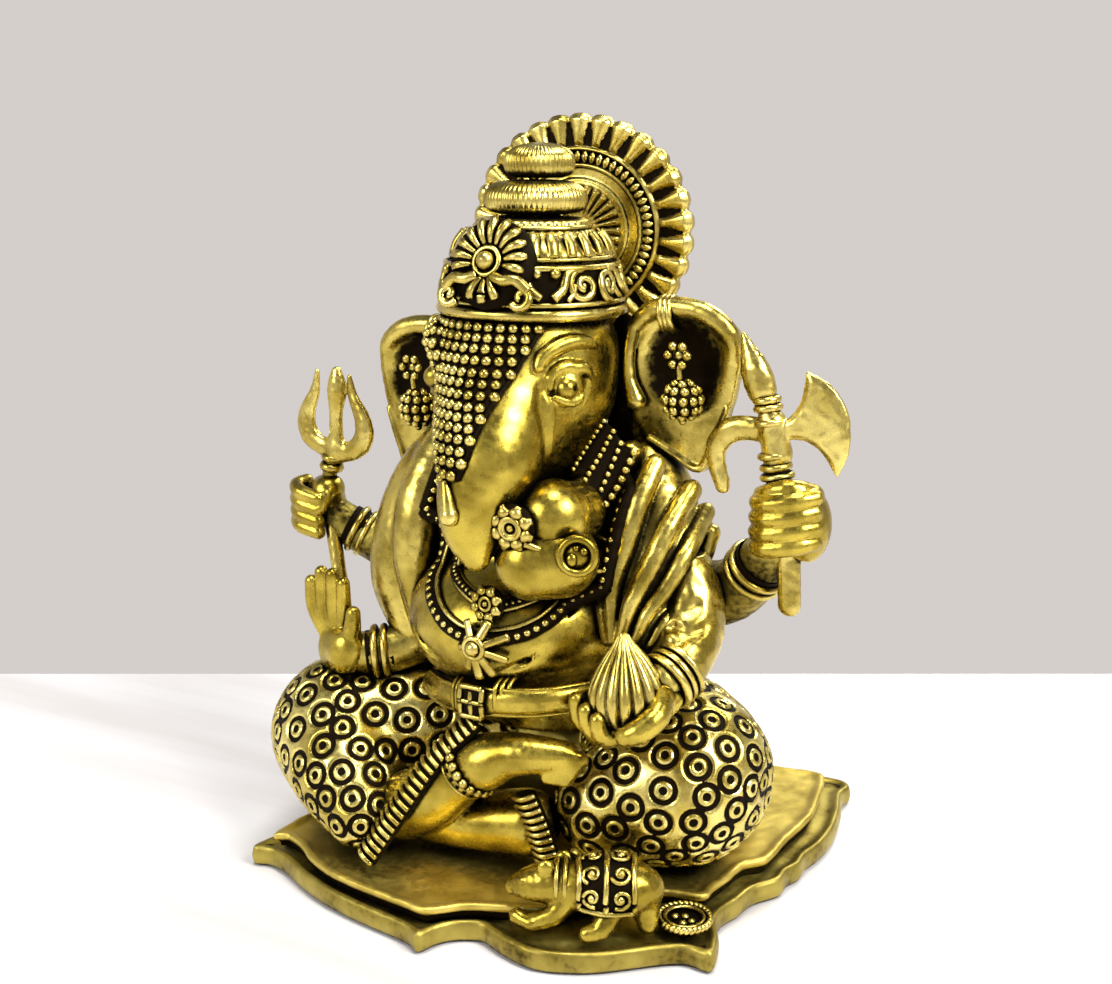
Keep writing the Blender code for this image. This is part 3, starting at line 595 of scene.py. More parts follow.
def place(name, skin, nodes, material=TRIM):
    """Weld a skin into a mesh object that rides the casting and stands for its CAD nodes."""
    key = np.round(skin.points / WELD).astype(np.int64)
    _, first, number = np.unique(key, axis=0, return_index=True, return_inverse=True)
    faces = [tuple(dict.fromkeys(quad)) for quad in number.reshape(-1)[skin.quads].tolist()]
    faces = [face for face in faces if len(face) > 2]
    mesh = bpy.data.meshes.new(name)
    mesh.from_pydata((skin.points[first] * MM).tolist(), [], faces)
    for layer_name, values in (("shade_and_patina", skin.shade_and_patina), ("mark", skin.mark)):
        layer = mesh.attributes.new(layer_name, "FLOAT", "POINT")
        layer.data.foreach_set("value", values[first].astype(np.float32))
    mesh.shade_smooth()
    mesh.materials.append(material)
    piece = bpy.data.objects.new(name, mesh)
    bpy.context.scene.collection.objects.link(piece)
    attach(piece, "root")
    if nodes:
        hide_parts(*nodes)


# ---------------------------------------------------------------- studio

CAMERA_TURN = math.radians(28)
CAMERA_DIP = math.radians(14)
CAMERA_REACH = 0.270
CAMERA_AIM = Vector((0.0062, -0.0112, 0.0049))
LENS = 46.1
# name, turn from the front in degrees, height, distance, size and power
LAMPS = (("key", 75, 0.42, 0.50, 0.26, 5.0), ("fill", -30, 0.30, 0.60, 0.30, 2.2),
         ("rim", 170, 0.45, 0.50, 0.26, 2.4), ("top", 20, 0.75, 0.12, 0.26, 3.6))
ROOM_LOW = (0.66, 0.62, 0.60, 1)
ROOM_HIGH = (0.16, 0.16, 0.17, 1)


def build_studio():
    """Camera, table top, four soft lamps and a room that is paler low down."""
    low, high = (Vector(corner) for corner in CAD_BOX)
    centre = (low + high) / 2
    away = Vector((math.sin(CAMERA_TURN) * math.cos(CAMERA_DIP),
                   -math.cos(CAMERA_TURN) * math.cos(CAMERA_DIP), math.sin(CAMERA_DIP)))
    eye = bpy.data.cameras.new("camera")
    eye.lens = LENS
    eye.clip_start = 0.01
    camera = bpy.data.objects.new("camera", eye)
    camera.location = centre + CAMERA_AIM + away * CAMERA_REACH
    camera.rotation_euler = (math.pi / 2 - CAMERA_DIP, 0, CAMERA_TURN)
    bpy.context.scene.collection.objects.link(camera)
    bpy.context.scene.camera = camera
    build_floor(centre)
    for name, turn, height, reach, size, power in LAMPS:
        lamp = bpy.data.lights.new(name, "AREA")
        lamp.size = size
        lamp.energy = power
        light = bpy.data.objects.new(name, lamp)
        angle = math.radians(turn)
        spot = Vector((math.sin(angle) * reach, -math.cos(angle) * reach, height))
        light.location = centre + spot
        light.rotation_euler = (-spot).to_track_quat("-Z", "Y").to_euler()
        bpy.context.scene.collection.objects.link(light)
    world = bpy.data.worlds.new("room")
    world.use_nodes = True
    tree = world.node_tree
    direction = tree.nodes.new("ShaderNodeTexCoord").outputs["Generated"]
    split = add_node(tree, "ShaderNodeSeparateXYZ", Vector=direction)
    tone = spread(tree, split.outputs["Z"], 0.12, 0.75)
    tree.links.new(blend_of(tree, tone, ROOM_LOW, ROOM_HIGH),
                   tree.nodes["Background"].inputs["Color"])
    bpy.context.scene.world = world
    bpy.context.scene.view_settings.view_transform = "Standard"


FLOOR_BEHIND = 0.098
FLOOR_REACH = 1.2
FLOOR_GAP = 0.0001


def build_floor(centre):
    """A pale table top whose far edge runs across the view behind the figure."""
    across = Vector((math.cos(CAMERA_TURN), math.sin(CAMERA_TURN), 0))
    back = Vector((-math.sin(CAMERA_TURN), math.cos(CAMERA_TURN), 0))
    base = Vector((centre.x, centre.y, -FLOOR_GAP))
    corners = [base + across * (FLOOR_REACH * s) + back * d
               for s, d in ((-1, -FLOOR_REACH), (1, -FLOOR_REACH), (1, FLOOR_BEHIND),
                            (-1, FLOOR_BEHIND))]
    mesh = bpy.data.meshes.new("floor")
    mesh.from_pydata(corners, [], [(0, 1, 2, 3)])
    floor = bpy.data.objects.new("floor", mesh)
    material = bpy.data.materials.new("pale_table")
    material.use_nodes = True
    tree = material.node_tree
    shader = tree.nodes["Principled BSDF"]
    where = tree.nodes.new("ShaderNodeTexCoord").outputs["Object"]
    streak = add_node(tree, "ShaderNodeMapping", Vector=where, Scale=(6, 60, 1))
    tone = spread(tree, grain(tree, streak.outputs[0], 1.0, 4.0), 0.3, 0.8)
    tree.links.new(blend_of(tree, tone, (0.74, 0.72, 0.71, 1), (0.60, 0.565, 0.545, 1)),
                   shader.inputs["Base Color"])
    shader.inputs["Roughness"].default_value = 0.55
    mesh.materials.append(material)
    bpy.context.scene.collection.objects.link(floor)


# ---------------------------------------------------------------- base


def outline_of(node, step):
    """The outline of a flat CAD plate, read from its mesh and smoothed, as (x, y) points."""
    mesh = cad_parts[node].data
    spots = np.round(np.array([v.co[:] for v in mesh.vertices]) / MM, 2)
    top = spots[:, 2].max()
    following = {}
    for face in mesh.polygons:
        corners = [tuple(spots[v]) for v in face.vertices]
        at_top = [corner[2] > top - 0.1 for corner in corners]
        if sum(at_top) == 2:
            pairs = zip(corners, corners[1:] + corners[:1], at_top, at_top[1:] + at_top[:1])
            for one, other, first, second in pairs:
                if first and second:
                    following[one] = other
    start = spot = next(iter(following))
    outline = [start]
    while following[spot] != start:
        spot = following[spot]
        outline.append(spot)
    turn = outline[-2:] + outline + outline[:2]
    smooth = curve_through(turn, step)
    first = np.argmin(np.linalg.norm(smooth - np.array(outline[0]), axis=1))
    last = np.argmin(np.linalg.norm(smooth[first + 5:] - np.array(outline[0]), axis=1))
    return smooth[first:first + 5 + last, :2]


RIM = 1.1
COVE = 0.9


def plate_field(node):
    """A flat plate's clay, its edge distance, its box and its grid heights."""
    clay = Clay(node, cell=0.5)
    x, y, z = np.ix_(*clay.axes)
    edge = flat_distance(outline_of(node, 1.2), x[:, :, 0], y[:, :, 0])[:, :, None]
    return clay, edge, *box_of(node), z


def build_base():
    """Two flat tiers with raised rims; the lower one dips in a cove behind its rim."""
    clay, edge, low, high, z = plate_field("base_plate")
    top = high[2] - COVE * smooth_step(RIM, 2.1 * RIM, -edge) \
        + 0.8 * COVE * smooth_step(3 * RIM, 6 * RIM, -edge)
    belly = 0.5 * np.sin(np.clip((z - low[2]) / (high[2] - low[2]), 0, 1) * np.pi) - 0.5
    clay.field = np.maximum(np.maximum(edge - belly, z - top), low[2] - z).astype(np.float32)
    skin = clay.skin().relax(1)
    skin.hollows(6, 0.25)
    # Painted shade on the side walls below the top edge, a quarter of full dark
    wall = smooth_step(0.2, 1.0, high[2] - skin.points[:, 2])
    skin.shade_and_patina = np.maximum(skin.shade_and_patina, 0.25 * wall)
    place("base_plate_cast", skin, ["base_plate"], SIDE)

    clay, edge, low, high, z = plate_field("base_step")
    top = high[2] - 0.5 * smooth_step(RIM, 1.9 * RIM, -edge)
    under = 0.9 * (1 - smooth_step(low[2] + 0.7, low[2] + 1.4, z))
    clay.field = np.maximum(np.maximum(edge + under, z - top), low[2] - 0.6 - z)
    clay.field = clay.field.astype(np.float32)
    skin = hammer(clay.skin().relax(1), 7.0, 0.05)
    skin.hollows(6, 0.25)
    # Painted shade along the undercut foot of the step
    groove = 1 - smooth_step(low[2] + 0.9, low[2] + 1.5, skin.points[:, 2])
    skin.shade_and_patina = np.maximum(skin.shade_and_patina, groove)
    place("base_step_cast", skin, ["base_step"], PLATE)


# ---------------------------------------------------------------- legs

RING_GAP = 6.15
RING_ROOM = 0.97
RING_LEAST = 4.7
RING_SAMPLES = 14000
RING_PUSH = 0.4
RING_BATCHES = 12


def spread_rings(skin, lowest, rounds=30):
    """Centres of an even pattern over a skin above a height.

    Farthest spots first; then each moves to the middle of its own patch, and close ones part.
    """
    dice = np.random.default_rng(7)
    corners = skin.points[skin.quads]
    areas = np.linalg.norm(np.cross(corners[:, 2] - corners[:, 0], corners[:, 3] - corners[:, 1]),
                           axis=1) / 2
    middles = corners.mean(axis=1)
    areas = np.where(middles[:, 2] > lowest, areas, 0)
    pool = middles[dice.choice(len(middles), RING_SAMPLES, p=areas / areas.sum())]
    count = int(areas.sum() / (RING_ROOM * RING_GAP ** 2))
    spots = [pool[np.argmin(pool[:, 1])]]
    gap = np.linalg.norm(pool - spots[0], axis=1)
    while len(spots) < count:
        spots.append(pool[np.argmax(gap)])
        gap = np.minimum(gap, np.linalg.norm(pool - spots[-1], axis=1))
    spots = np.array(spots)
    for _ in range(rounds):
        owner = np.argmin(((pool[:, None] - spots[None]) ** 2).sum(-1), axis=1)
        spots = np.array([pool[owner == k].mean(axis=0) for k in range(count)])
        apart = spots[:, None] - spots[None]
        reach = np.linalg.norm(apart, axis=2) + 1e-6
        push = np.clip(RING_GAP - reach, 0, None) * (reach > 1e-3) / reach
        spots = spots + RING_PUSH * (apart * push[..., None]).sum(axis=1)
        spots = pool[np.argmin(((pool[:, None] - spots[None]) ** 2).sum(-1), axis=0)]
    kept = []
    for spot in spots:
        if all(np.linalg.norm(spot - other) > RING_LEAST for other in kept):
            kept.append(spot)
    return np.array(kept)


def stamp_rings(skin, lowest):
    """Sink a round groove and a centre dot at every spot; mark holds the distance to it."""
    spots = spread_rings(skin, lowest)
    for part in np.array_split(np.arange(len(skin.points)), RING_BATCHES):
        gaps = np.sqrt(((skin.points[part][:, None] - spots[None]) ** 2).sum(-1))
        skin.mark[part] = gaps.min(axis=1)
    inner, outer = RING_GROOVE
    groove = smooth_step(inner - 0.25, inner + 0.15, skin.mark)
    groove *= 1 - smooth_step(outer - 0.15, outer + 0.25, skin.mark)
    pit = smooth_step(RING_DOT[0] - 0.2, RING_DOT[0] + 0.2, skin.mark)
    pit *= 1 - smooth_step(RING_DOT[1] - 0.25, RING_DOT[1] + 0.15, skin.mark)
    skin.press(-0.5 * groove - 0.4 * pit)


def build_thighs():
    """Both thighs under one cloth, stamped with rings."""
    for node, paths in (
            ("thigh_right", ([(17, 17, 0, 14), (3, 6, 0, 16), (-12, -4, 0, 16)],
                             [(-14, -6, -1, 14.8), (-6, -15, -4, 11.5), (2, -22, -8, 7.5)])),
            ("thigh_left", ([(-11.1, 12.0, -0.2, 14.0), (-0.1, 3.0, 0.8, 16.5),
                             (9.9, -4.0, -0.2, 16.0)],
                            [(7.9, -7.0, -2.2, 15.5), (1.9, -10.5, -3.7, 13.6),
                             (-3.1, -13.5, -5.7, 11.0)]))):
        clay = Clay(node, cell=0.4)
        for path, soft in zip(paths, (2, 3)):
            clay.rod(path, soft=soft)
        floor = box_of("base_step")[1][2]
        clay.keep_above(floor - 0.5)
        skin = clay.skin()
        stamp_rings(skin, floor + 1.5)
        skin.hollows(6, 0.3)
        place(node + "_cloth", skin, [node], RINGED)


def build_seat():
    """The cloth that closes the figure behind, over the seat."""
    clay = Clay("seat_back", cell=0.5)
    clay.blob((0, 0, -4.2), (40, 24, 20))
    clay.keep_above(box_of("base_step")[1][2] - 0.5)
    skin = hammer(clay.skin(), 9.0, 0.25)
    place("seat_cloth", skin, ["seat_back"], SIDE)


def ribbon(path, across, half_width, half_thick, sides=12):
    """A flat band along a curve; across is its wide direction."""
    line = even_points(path, 0.8)
    run = np.gradient(line, axis=0)
    angle = np.linspace(0, 2 * np.pi, sides, endpoint=False)
    rows = []
    for spot, direction in zip(line, run):
        out, wide, _ = frame_of(direction, across)
        rows.append(spot + half_width * np.outer(np.cos(angle), wide)
                    + half_thick * np.outer(np.sin(angle), out))
    return tube(rows, line[0], line[-1])


def comb_hem(name, node, path, across, half_width, gap):
    """A cloth border: round bars across a dark band."""
    home = middle(node)
    path = np.array(path, float) + home
    # Dark band under the bars: patina and painted shade between them
    ground = ribbon(path, across, half_width, 1.5).shade_and_patina_all_over()
    parts = [ground]
    line = even_points(path, gap)
    run = np.gradient(line, axis=0)
    for spot, direction in zip(line, run):
        out, wide, _ = frame_of(direction, across)
        if out[1] > 0:
            out = -out
        parts.append(wire([spot - wide * half_width + out * 0.7, spot + out * 1.75,
                           spot + wide * half_width + out * 0.7], 0.55, 8))
    place(name, joined(*parts), [node])


def build_hems():
    """The borders of the cloth, over the right shin and beside the left thigh."""
    comb_hem("hem_right_comb", "hem_right", [(9.4, 4.7, 13.8), (3.4, 1.2, 6.8), (-2.1, -2.3, -2.2),
                                             (-9.1, -4.9, -13.8)], (-1, 0.2, -0.4), 2.7, 1.72)
    comb_hem("hem_left_comb", "hem_left", [(-1.7, -1.9, 7.6), (0.3, 0.1, 0), (1.6, 1.9, -8.0)],
             (1, 0.1, 0), 2.4, 1.72)


def build_legs():
    """Both lower legs and the right foot with its toes, as one skin."""
    clay = Clay("leg_left", "leg_right", "foot_right", cell=0.4)
    clay.rod([(-10.6, -2.2, -1.8, 5.2), (-1.6, -1.2, -1, 5.8), (9.4, 0.8, 0.4, 6.6)])
    clay.home = middle("leg_right")
    clay.rod([(-6.2, 0.4, -4.4, 6.6), (0.8, -0.6, 0.1, 6.6), (6.8, -0.6, 5.1, 5.8)], soft=0.5)
    clay.home = middle("foot_right")
    clay.rod([(-12.6, -0.7, -3.2, 5.2), (-7.8, -0.7, -0.4, 4.7), (-1.9, -0.7, 1.6, 4.1),
              (4.6, 0.5, 2.2, 3.3), (8, 1.5, 2.4, 2.6)], soft=1.5)
    clay.blob((-8.4, -1, -1.6), (4.8, 4.9, 4.6), soft=2)
    for toe in range(5):
        lift = 2.4 - 1.15 * toe
        clay.rod([(5.5 - 0.3 * toe, -0.4 - 0.2 * toe, lift + 0.6, 1.35 - 0.07 * toe),
                  (10.6 - 0.6 * toe, 0.6 - 0.3 * toe, lift + 0.3, 1.45 - 0.12 * toe)], soft=0.5)
    clay.keep_above(box_of("base_step")[1][2] - 0.3)
    skin = clay.skin().hollows(10, 0.5)
    place("legs_skin", skin, ["leg_left", "leg_right", "foot_right"], SKIN)


# ---------------------------------------------------------------- body


def hammer(skin, size, depth):
    """Soft uneven dents."""
    x, y, z = (skin.points[:, k] * 2 * np.pi / size for k in range(3))
    dents = np.sin(x + 1.7 * np.sin(0.6 * z)) * np.sin(y + 1.3 * np.sin(0.7 * x + 2)) \
        * np.sin(z + 1.5 * np.sin(0.5 * y + 1))
    return skin.press(depth * dents)


def build_torso():
    """Chest and belly, with a line scored under the chest."""
    clay = Clay("torso", cell=0.45)
    clay.blob((-0.3, -1, -6.1), (22.5, 23.5, 15.5))
    clay.blob((0.2, 5, 10.4), (22.5, 17.5, 17), soft=4)
    clay.rod([(0.2, 7, -23.6, 18), (0.2, 6, -13.6, 19)], soft=4, flat=((0, 1, 0), 0.85))
    for side in (-1, 1):
        clay.rod([(side * 17.5 - 0.3, -11, 2.1, 0.7), (side * 12 - 0.3, -19.5, -7.4, 0.7),
                  (side * 5 - 0.3, -23.6, -11.7, 0.7), (-0.3, -24.6, -12.7, 0.7)],
                 soft=0.6, cut_away=True)
    skin = clay.skin()
    hammer(skin, 7.0, 0.05)
    skin.hollows(10, 0.45)
    place("torso_skin", skin, ["torso"], SKIN)
    return skin


def folds(node, paths, core, name, soft, depth):
    """Cloth laid in round folds, each a rod, over a slimmer core."""
    clay = Clay(node, cell=0.4)
    clay.rod(core, soft=1)
    for path in paths:
        clay.rod(path, soft=soft)
    skin = clay.skin()
    hammer(skin, 5.0, 0.07)
    skin.hollows(8, depth)
    place(name, skin, [node], CLOTH)
    return skin


def build_shawls():
    """The shawl over both shoulders: five narrow folds left, three broad ones right."""
    left = folds("shawl_left", [
        [(-4.4, 0.0, 15.9, 2.3), (-8.1, -0.7, 6.2, 2.5), (-7.8, -5.6, -2.5, 2.4),
         (-5.4, -9.8, -10.8, 2.0), (-2.6, -13.3, -17.2, 1.3)],
        [(0.8, -0.7, 14.2, 2.1), (-0.1, -5.4, 8.2, 2.3), (-1.4, -8.9, 0.2, 2.2),
         (-2.7, -11.5, -8.0, 1.8), (-1.5, -13.8, -16.8, 1.1)],
        [(7.2, 1.2, 9.5, 2.2), (5.9, -5.9, 3.7, 2.1), (3.8, -9.9, -3.2, 2.0),
         (1.6, -12.8, -9.8, 1.6), (0.2, -14.1, -16.4, 1.1)],
        [(8.5, 5.7, 4.4, 1.9), (8.9, -4.3, -0.9, 1.8), (7.0, -8.5, -6.6, 1.6),
         (4.8, -11.8, -11.0, 1.4), (2.9, -13.6, -16.6, 1.0)],
        [(10.3, 4.8, 0.9, 1.7), (9.3, 1.8, -5.2, 1.6), (8.1, -2.7, -10.4, 1.5),
         (6.8, -9.0, -13.4, 1.3), (5.2, -11.6, -17.4, 1.0)],
    ], [(-4.0, 7.4, 12.6, 5.6), (-0.9, 4.4, 5.6, 7.6), (0.7, 0.4, -2.4, 7.9),
       (0.7, -4.6, -10.9, 6.6), (1.5, -7.6, -17.4, 5.2)], "shawl_left_folds", 0.2, 0.7)
    right = folds("shawl_right", [
        [(5.1, 0.3, 19.5, 4), (2.6, -5.7, 8.5, 4.8), (2.1, -8.5, -3.5, 4.3), (4.1, -9.5, -17, 2.4)],
        [(1.1, 3.3, 16.5, 4), (-2.9, -2.7, 5.5, 4.6), (-3.1, -5.7, -5.5, 4.2),
         (1.6, -8, -19, 2.5)],
        [(-1.9, 7.3, 12.5, 4), (-7.1, 2.3, 1.5, 4), (-7.1, -0.7, -7.5, 4), (-2.4, -4.7, -20, 2.5)],
    ], [(6, 4, 18, 5), (1.6, 2, 11, 8), (-2.4, -0.7, 1.5, 8), (-3.4, -3.2, -9.5, 7.5),
        (0, -6.2, -19, 5)], "shawl_right_folds", 0.7, 0.6)
    return left, right


def build_belt():
    """A strap with two lines along it, bars beside the buckle, and the buckle's grid."""
    path = np.array([(-18, 4.7, -2.2), (-9.5, -2.3, -0.4), (0.5, -4.8, 1.0), (10.5, -2.3, 1.8),
                     (18, 4.7, 2.2)]) + middle("belt")
    strap = ribbon(path, (0, 0, 1), 2.7, 1.9).shade_and_patina_all_over(0.25)
    parts = [strap]
    for edge in (-1, 1):
        parts.append(wire(path + (0, -0.7, 2.45 * edge), 0.45))
    for shift in (-4.6, -3.5, 4.4, 5.5, 6.6):
        spot = middle("buckle") + (shift, 0.06 * shift ** 2, 0.3 + 0.12 * shift)
        parts.append(ribbon([spot + (0, 2.5, -3.3), spot + (0, -0.4, -2.4), spot + (0, -0.9, 0),
                             spot + (0, -0.4, 2.4), spot + (0, 2.5, 3.3)], (1, 0, 0), 0.45, 0.5, 8))
    place("belt_strap", joined(*parts), ["belt"], SKIN)
    home = middle("buckle")
    frame_parts = []
    for x in (-2.3, 0.0, 2.3):
        frame_parts.append(wire([home + (x, -0.6, -2.9), home + (x, -1.2, 0),
                                 home + (x, -0.6, 2.9)], 0.55, 6))
    for z in (-2.9, 0.0, 2.9):
        frame_parts.append(wire([home + (-2.3, -0.9, z), home + (2.3, -0.9, z)], 0.55, 6))
    # Dark ground behind the grid: patina and painted shade between its bars
    ground = wire([home + (0, -0.2, -2.9), home + (0, -0.4, 2.9)], 2.4, 10, flat=0.4).shade_and_patina_all_over()
    place("buckle_frame", joined(ground, *frame_parts), ["buckle"])


def lay_on(points, tree, lift):
    """Move points to the nearest place of a skin and lift them off it."""
    laid = []
    for point in points:
        spot, normal, _, gap = tree.find_nearest(Vector(point))
        if gap < 7:
            point = np.array(spot) + lift * np.array(normal)
        laid.append(point)
    return np.array(laid)


def beads_along(path, gap, radius, squash=0.9, sides=10, rows=6):
    """Balls a fixed gap apart along a curve."""
    return [bead(spot, radius, squash, sides=sides, rows=rows) for spot in even_points(path, gap)]


def flower(centre, facing, radius, petals):
    """A round flower: a dark disc, leaf petals, a ring and a middle ball."""
    side, over, out = frame_of(facing)
    centre = np.asarray(centre, float)
    # Dark disc behind the petals: patina and painted shade between them
    disc = turned([(0.01, -1.0), (radius * 0.92, -1.0), (radius * 0.92, 0.0), (0.01, 0.1)],
                  centre, facing, 24).shade_and_patina_all_over()
    parts = [disc, hoop(centre + out * 0.5, facing, radius * 0.33, radius * 0.11, 20),
             bead(centre + out * 0.5, radius * 0.17)]
    for k in range(petals):
        turn = 2 * math.pi * (k + 0.5) / petals
        way = math.cos(turn) * side + math.sin(turn) * over
        width = 2.2 * radius / petals
        parts.append(wire([centre + way * radius * 0.48 + out * 0.2,
                           centre + way * radius * 0.72 + out * 0.55,
                           centre + way * radius * 0.98 + out * 0.2], width, 8, 0.3,
                          taper=lambda t: 0.35 + 0.75 * math.sin(math.pi * min(t + 0.12, 0.93)),
                          flat=0.6, up=out))
    return joined(*parts)


# From the left shawl's middle, the strand nearest the face first.
SHOULDER_STRANDS = [
    [(-7.6, -5.6, 22.5), (-9.4, -8.6, 18.3), (-10.9, -11.6, 14.2)],
    [(-5.2, -6.6, 21.0), (-6.4, -9.6, 16.9), (-7.9, -12.6, 12.8)],
    [(-3.6, -6.6, 18.9), (-5.1, -9.6, 12.7), (-6.8, -12.6, 6.7)],
    [(-0.9, -6.6, 17.5), (-3.5, -9.6, 10.2), (-6.8, -11.6, 5.3)]]


def build_outer_necklace(tree):
    """A bead row on a dark band with a fine inner line, and bead strands over the shoulder."""
    path = np.array([(17.3, 10.8, 15.3), (17.6, 5.3, 6.3), (17.4, -1.2, -4.7), (11.8, -7.7, -12.2),
                     (1.8, -10.6, -15.1), (-7.2, -9.4, -13.2), (-14.7, -3.7, -6.7),
                     (-17.7, 3.3, 3.3), (-17.7, 8.8, 12.3)]) + middle("necklace_outer")
    # Dark band under the beads: patina and painted shade between them
    ground = wire(lay_on(even_points(path, 1.0), tree, 0.1), 1.5, 8).shade_and_patina_all_over()
    parts = [ground] + beads_along(lay_on(even_points(path, 1.0), tree, 1.0), 1.9, 0.82)
    inward = lay_on(even_points(path + (0, 0, 1.9) - path * (0.06, 0, 0), 1.0), tree, 0.7)
    parts.append(wire(inward, 0.5, 6))
    lines = [even_points(np.array(strand) + middle("shawl_left"), 0.5)
             for strand in SHOULDER_STRANDS]
    # Dark sheet under the strands' beads: patina and painted shade between them
    ground = sheet_of([line[np.linspace(0, len(line) - 1, 12).astype(int)] + (0, 0.6, 0)
                       for line in lines]).shade_and_patina_all_over()
    parts.append(ground)
    for line, size in zip(lines, (0.55, 0.6, 0.65, 0.8)):
        parts += beads_along(line, 2.3 * size, size, sides=8, rows=5)
    place("necklace_outer_beads", joined(*parts), ["necklace_outer"])


def build_inner_necklace(tree):
    """A fine bead row between two plain lines."""
    path = np.array([(14, 8.4, 10.9), (13.5, 2.4, 0.9), (11, -3.6, -6.6), (2, -8.2, -10.7),
                     (-8, -5.6, -6.6), (-13, -0.1, 0.9), (-14, 5.4, 8.9)]) + middle("necklace_inner")
    # Dark band under the beads: patina and painted shade between them
    ground = wire(lay_on(even_points(path, 1.0), tree, 0.1), 1.3, 8).shade_and_patina_all_over()
    parts = [ground]
    parts += beads_along(lay_on(even_points(path, 1.0), tree, 0.9), 1.25, 0.62, sides=8, rows=5)
    for lift in (-1.5, 1.5):
        parts.append(wire(lay_on(even_points(path + (0, 0, lift), 1.0), tree, 0.6), 0.45, 6))
    place("necklace_inner_chain", joined(*parts), ["necklace_inner"])


def build_pendants():
    """A small flower, and below it a knot with eight tongues."""
    home = middle("pendant_upper")
    place("pendant_upper_flower", flower(home + (0, -0.4, 0), (-0.1, -1, 0.15), 3.6, 8),
          ["pendant_upper"])
    home = middle("pendant_lower")
    parts = [bead(home + (0, -0.6, 0), 1.5), hoop(home + (0, -0.5, 0), (0, -1, 0), 1.9, 0.55)]
    for x, z, width in ((-2.6, 4.6, 0.8), (2.2, 4.9, 0.9), (5.6, 2.2, 0.8), (5.4, -2.6, 0.8),
                        (3.0, -5.4, 1.0), (0.2, -6.2, 1.0), (-2.4, -5.0, 1.0), (-4.8, -1.4, 0.7)):
        tip = home + (x, 1.2 + 0.05 * x * x, z)
        parts.append(wire([home + (0.25 * x, -0.2, 0.25 * z), (home + tip) / 2 + (0, -0.4, 0), tip],
                          width, 6, flat=0.55, up=(0, -1, 0)))
    place("pendant_lower_knot", joined(*parts), ["pendant_lower"])


# ---------------------------------------------------------------- arms and hands

PLEATS = 16
PLEAT_DEPTH = 0.15


def bangles(name, node, axis, radius, wires, gap, core):
    """Rings side by side round a wrist, on a dark sleeve."""
    home = middle(node)
    out = unit(axis)
    # Dark sleeve between the rings: patina and painted shade
    sleeve = turned([(core, -1.4 * gap), (core, 1.4 * gap)], home, axis, 24).shade_and_patina_all_over(0.9)
    parts = [sleeve]
    for k, thick in enumerate(wires):
        spot = home + out * gap * (k - (len(wires) - 1) / 2)
        parts.append(hoop(spot, axis, radius, thick, 32))
    place(name, joined(*parts), [node])


def build_rear_arms():
    """The two rear forearms, darkened all over, and their wristlets."""
    for word, path in (
            ("right", [(9.4, 1.3, 0.3, 6.5), (0.4, -0.2, -1.7, 5.6), (-7.1, -2.2, 0.8, 4.6),
                       (-11.6, -3.7, 3.3, 4.2), (-14, -4, 5, 3.8)]),
            ("left", [(-8.6, 1.9, -5.2, 6.5), (-0.6, 0.4, -3.2, 6.2), (4.9, -1.6, 1.3, 5.4),
                      (9.4, -3.6, 7.3, 4.8), (11, -4.5, 10, 4.4)])):
        clay = Clay(f"arm_rear_{word}", cell=0.4)
        clay.rod(path)
        skin = hammer(clay.skin(), 6.0, 0.10).hollows(8, 0.4)
        # Darkened all over: mixed at least 0.42 of the way to near-black
        skin.shade_and_patina = np.maximum(skin.shade_and_patina, 0.42)
        place(f"arm_rear_{word}_skin", skin, [f"arm_rear_{word}"], SIDE)
    bangles("wristlet_rear_right_rings", "wristlet_rear_right", (-0.85, -0.3, 0.45), 4.7,
            (0.7, 0.7), 2.2, 4.5)
    bangles("wristlet_rear_left_rings", "wristlet_rear_left", (0.6, -0.3, 0.75), 5.5,
            (0.75, 0.75), 2.2, 5.3)


def build_fists():
    """The rear hands, closed round the axe and the trident."""
    clay = Clay("fist_rear_left", cell=0.3)
    clay.blob((0.6, 1.4, -0.2), (5.0, 4.8, 6.6))
    clay.blob((3.4, 0.2, -0.4), (3.9, 4.9, 6.8), soft=2)
    for finger in range(4):
        z = 4.9 - 2.75 * finger
        clay.rod([(5.2, -2.6, z + 0.7, 1.5), (2.2, -4.8, z + 0.1, 1.75), (-2.6, -5.3, z - 0.9, 1.7),
                  (-5.6, -2.6, z - 1.3, 1.6), (-5.3, 0.5, z - 1.3, 1.4)], soft=0.25)
    clay.rod([(-5.6, -1.6, 5.2, 1.1), (-2.8, -3.9, 6.2, 1.5), (1.2, -3.6, 6.9, 1.9),
              (4, -0.6, 5.4, 2.2)], soft=0.4)
    skin = clay.skin().hollows(7, 0.35)
    place("fist_rear_left_skin", skin, ["fist_rear_left"], SKIN)
    clay = Clay("fist_rear_right", cell=0.3)
    clay.blob((0.2, 1.0, 0.4), (4.6, 4.4, 6.2))
    clay.blob((2.4, -0.6, 4.4), (3.4, 3.6, 2.8), soft=1.5)
    for finger in range(4):
        z = 3.9 - 2.5 * finger
        clay.rod([(-4.2, 0.6, z + 1.2, 1.4), (-4.8, -2.2, z + 0.8, 1.5), (-2.0, -4.6, z, 1.6),
                  (2.4, -4.6, z - 1.0, 1.45)], soft=0.25)
    clay.rod([(3.4, 0.2, 5.2, 1.8), (3.8, -3.2, 3.4, 1.5), (3.2, -4.6, 0.8, 1.3)], soft=0.3)
    skin = clay.skin().hollows(7, 0.35)
    place("fist_rear_right_skin", skin, ["fist_rear_right"], SKIN)


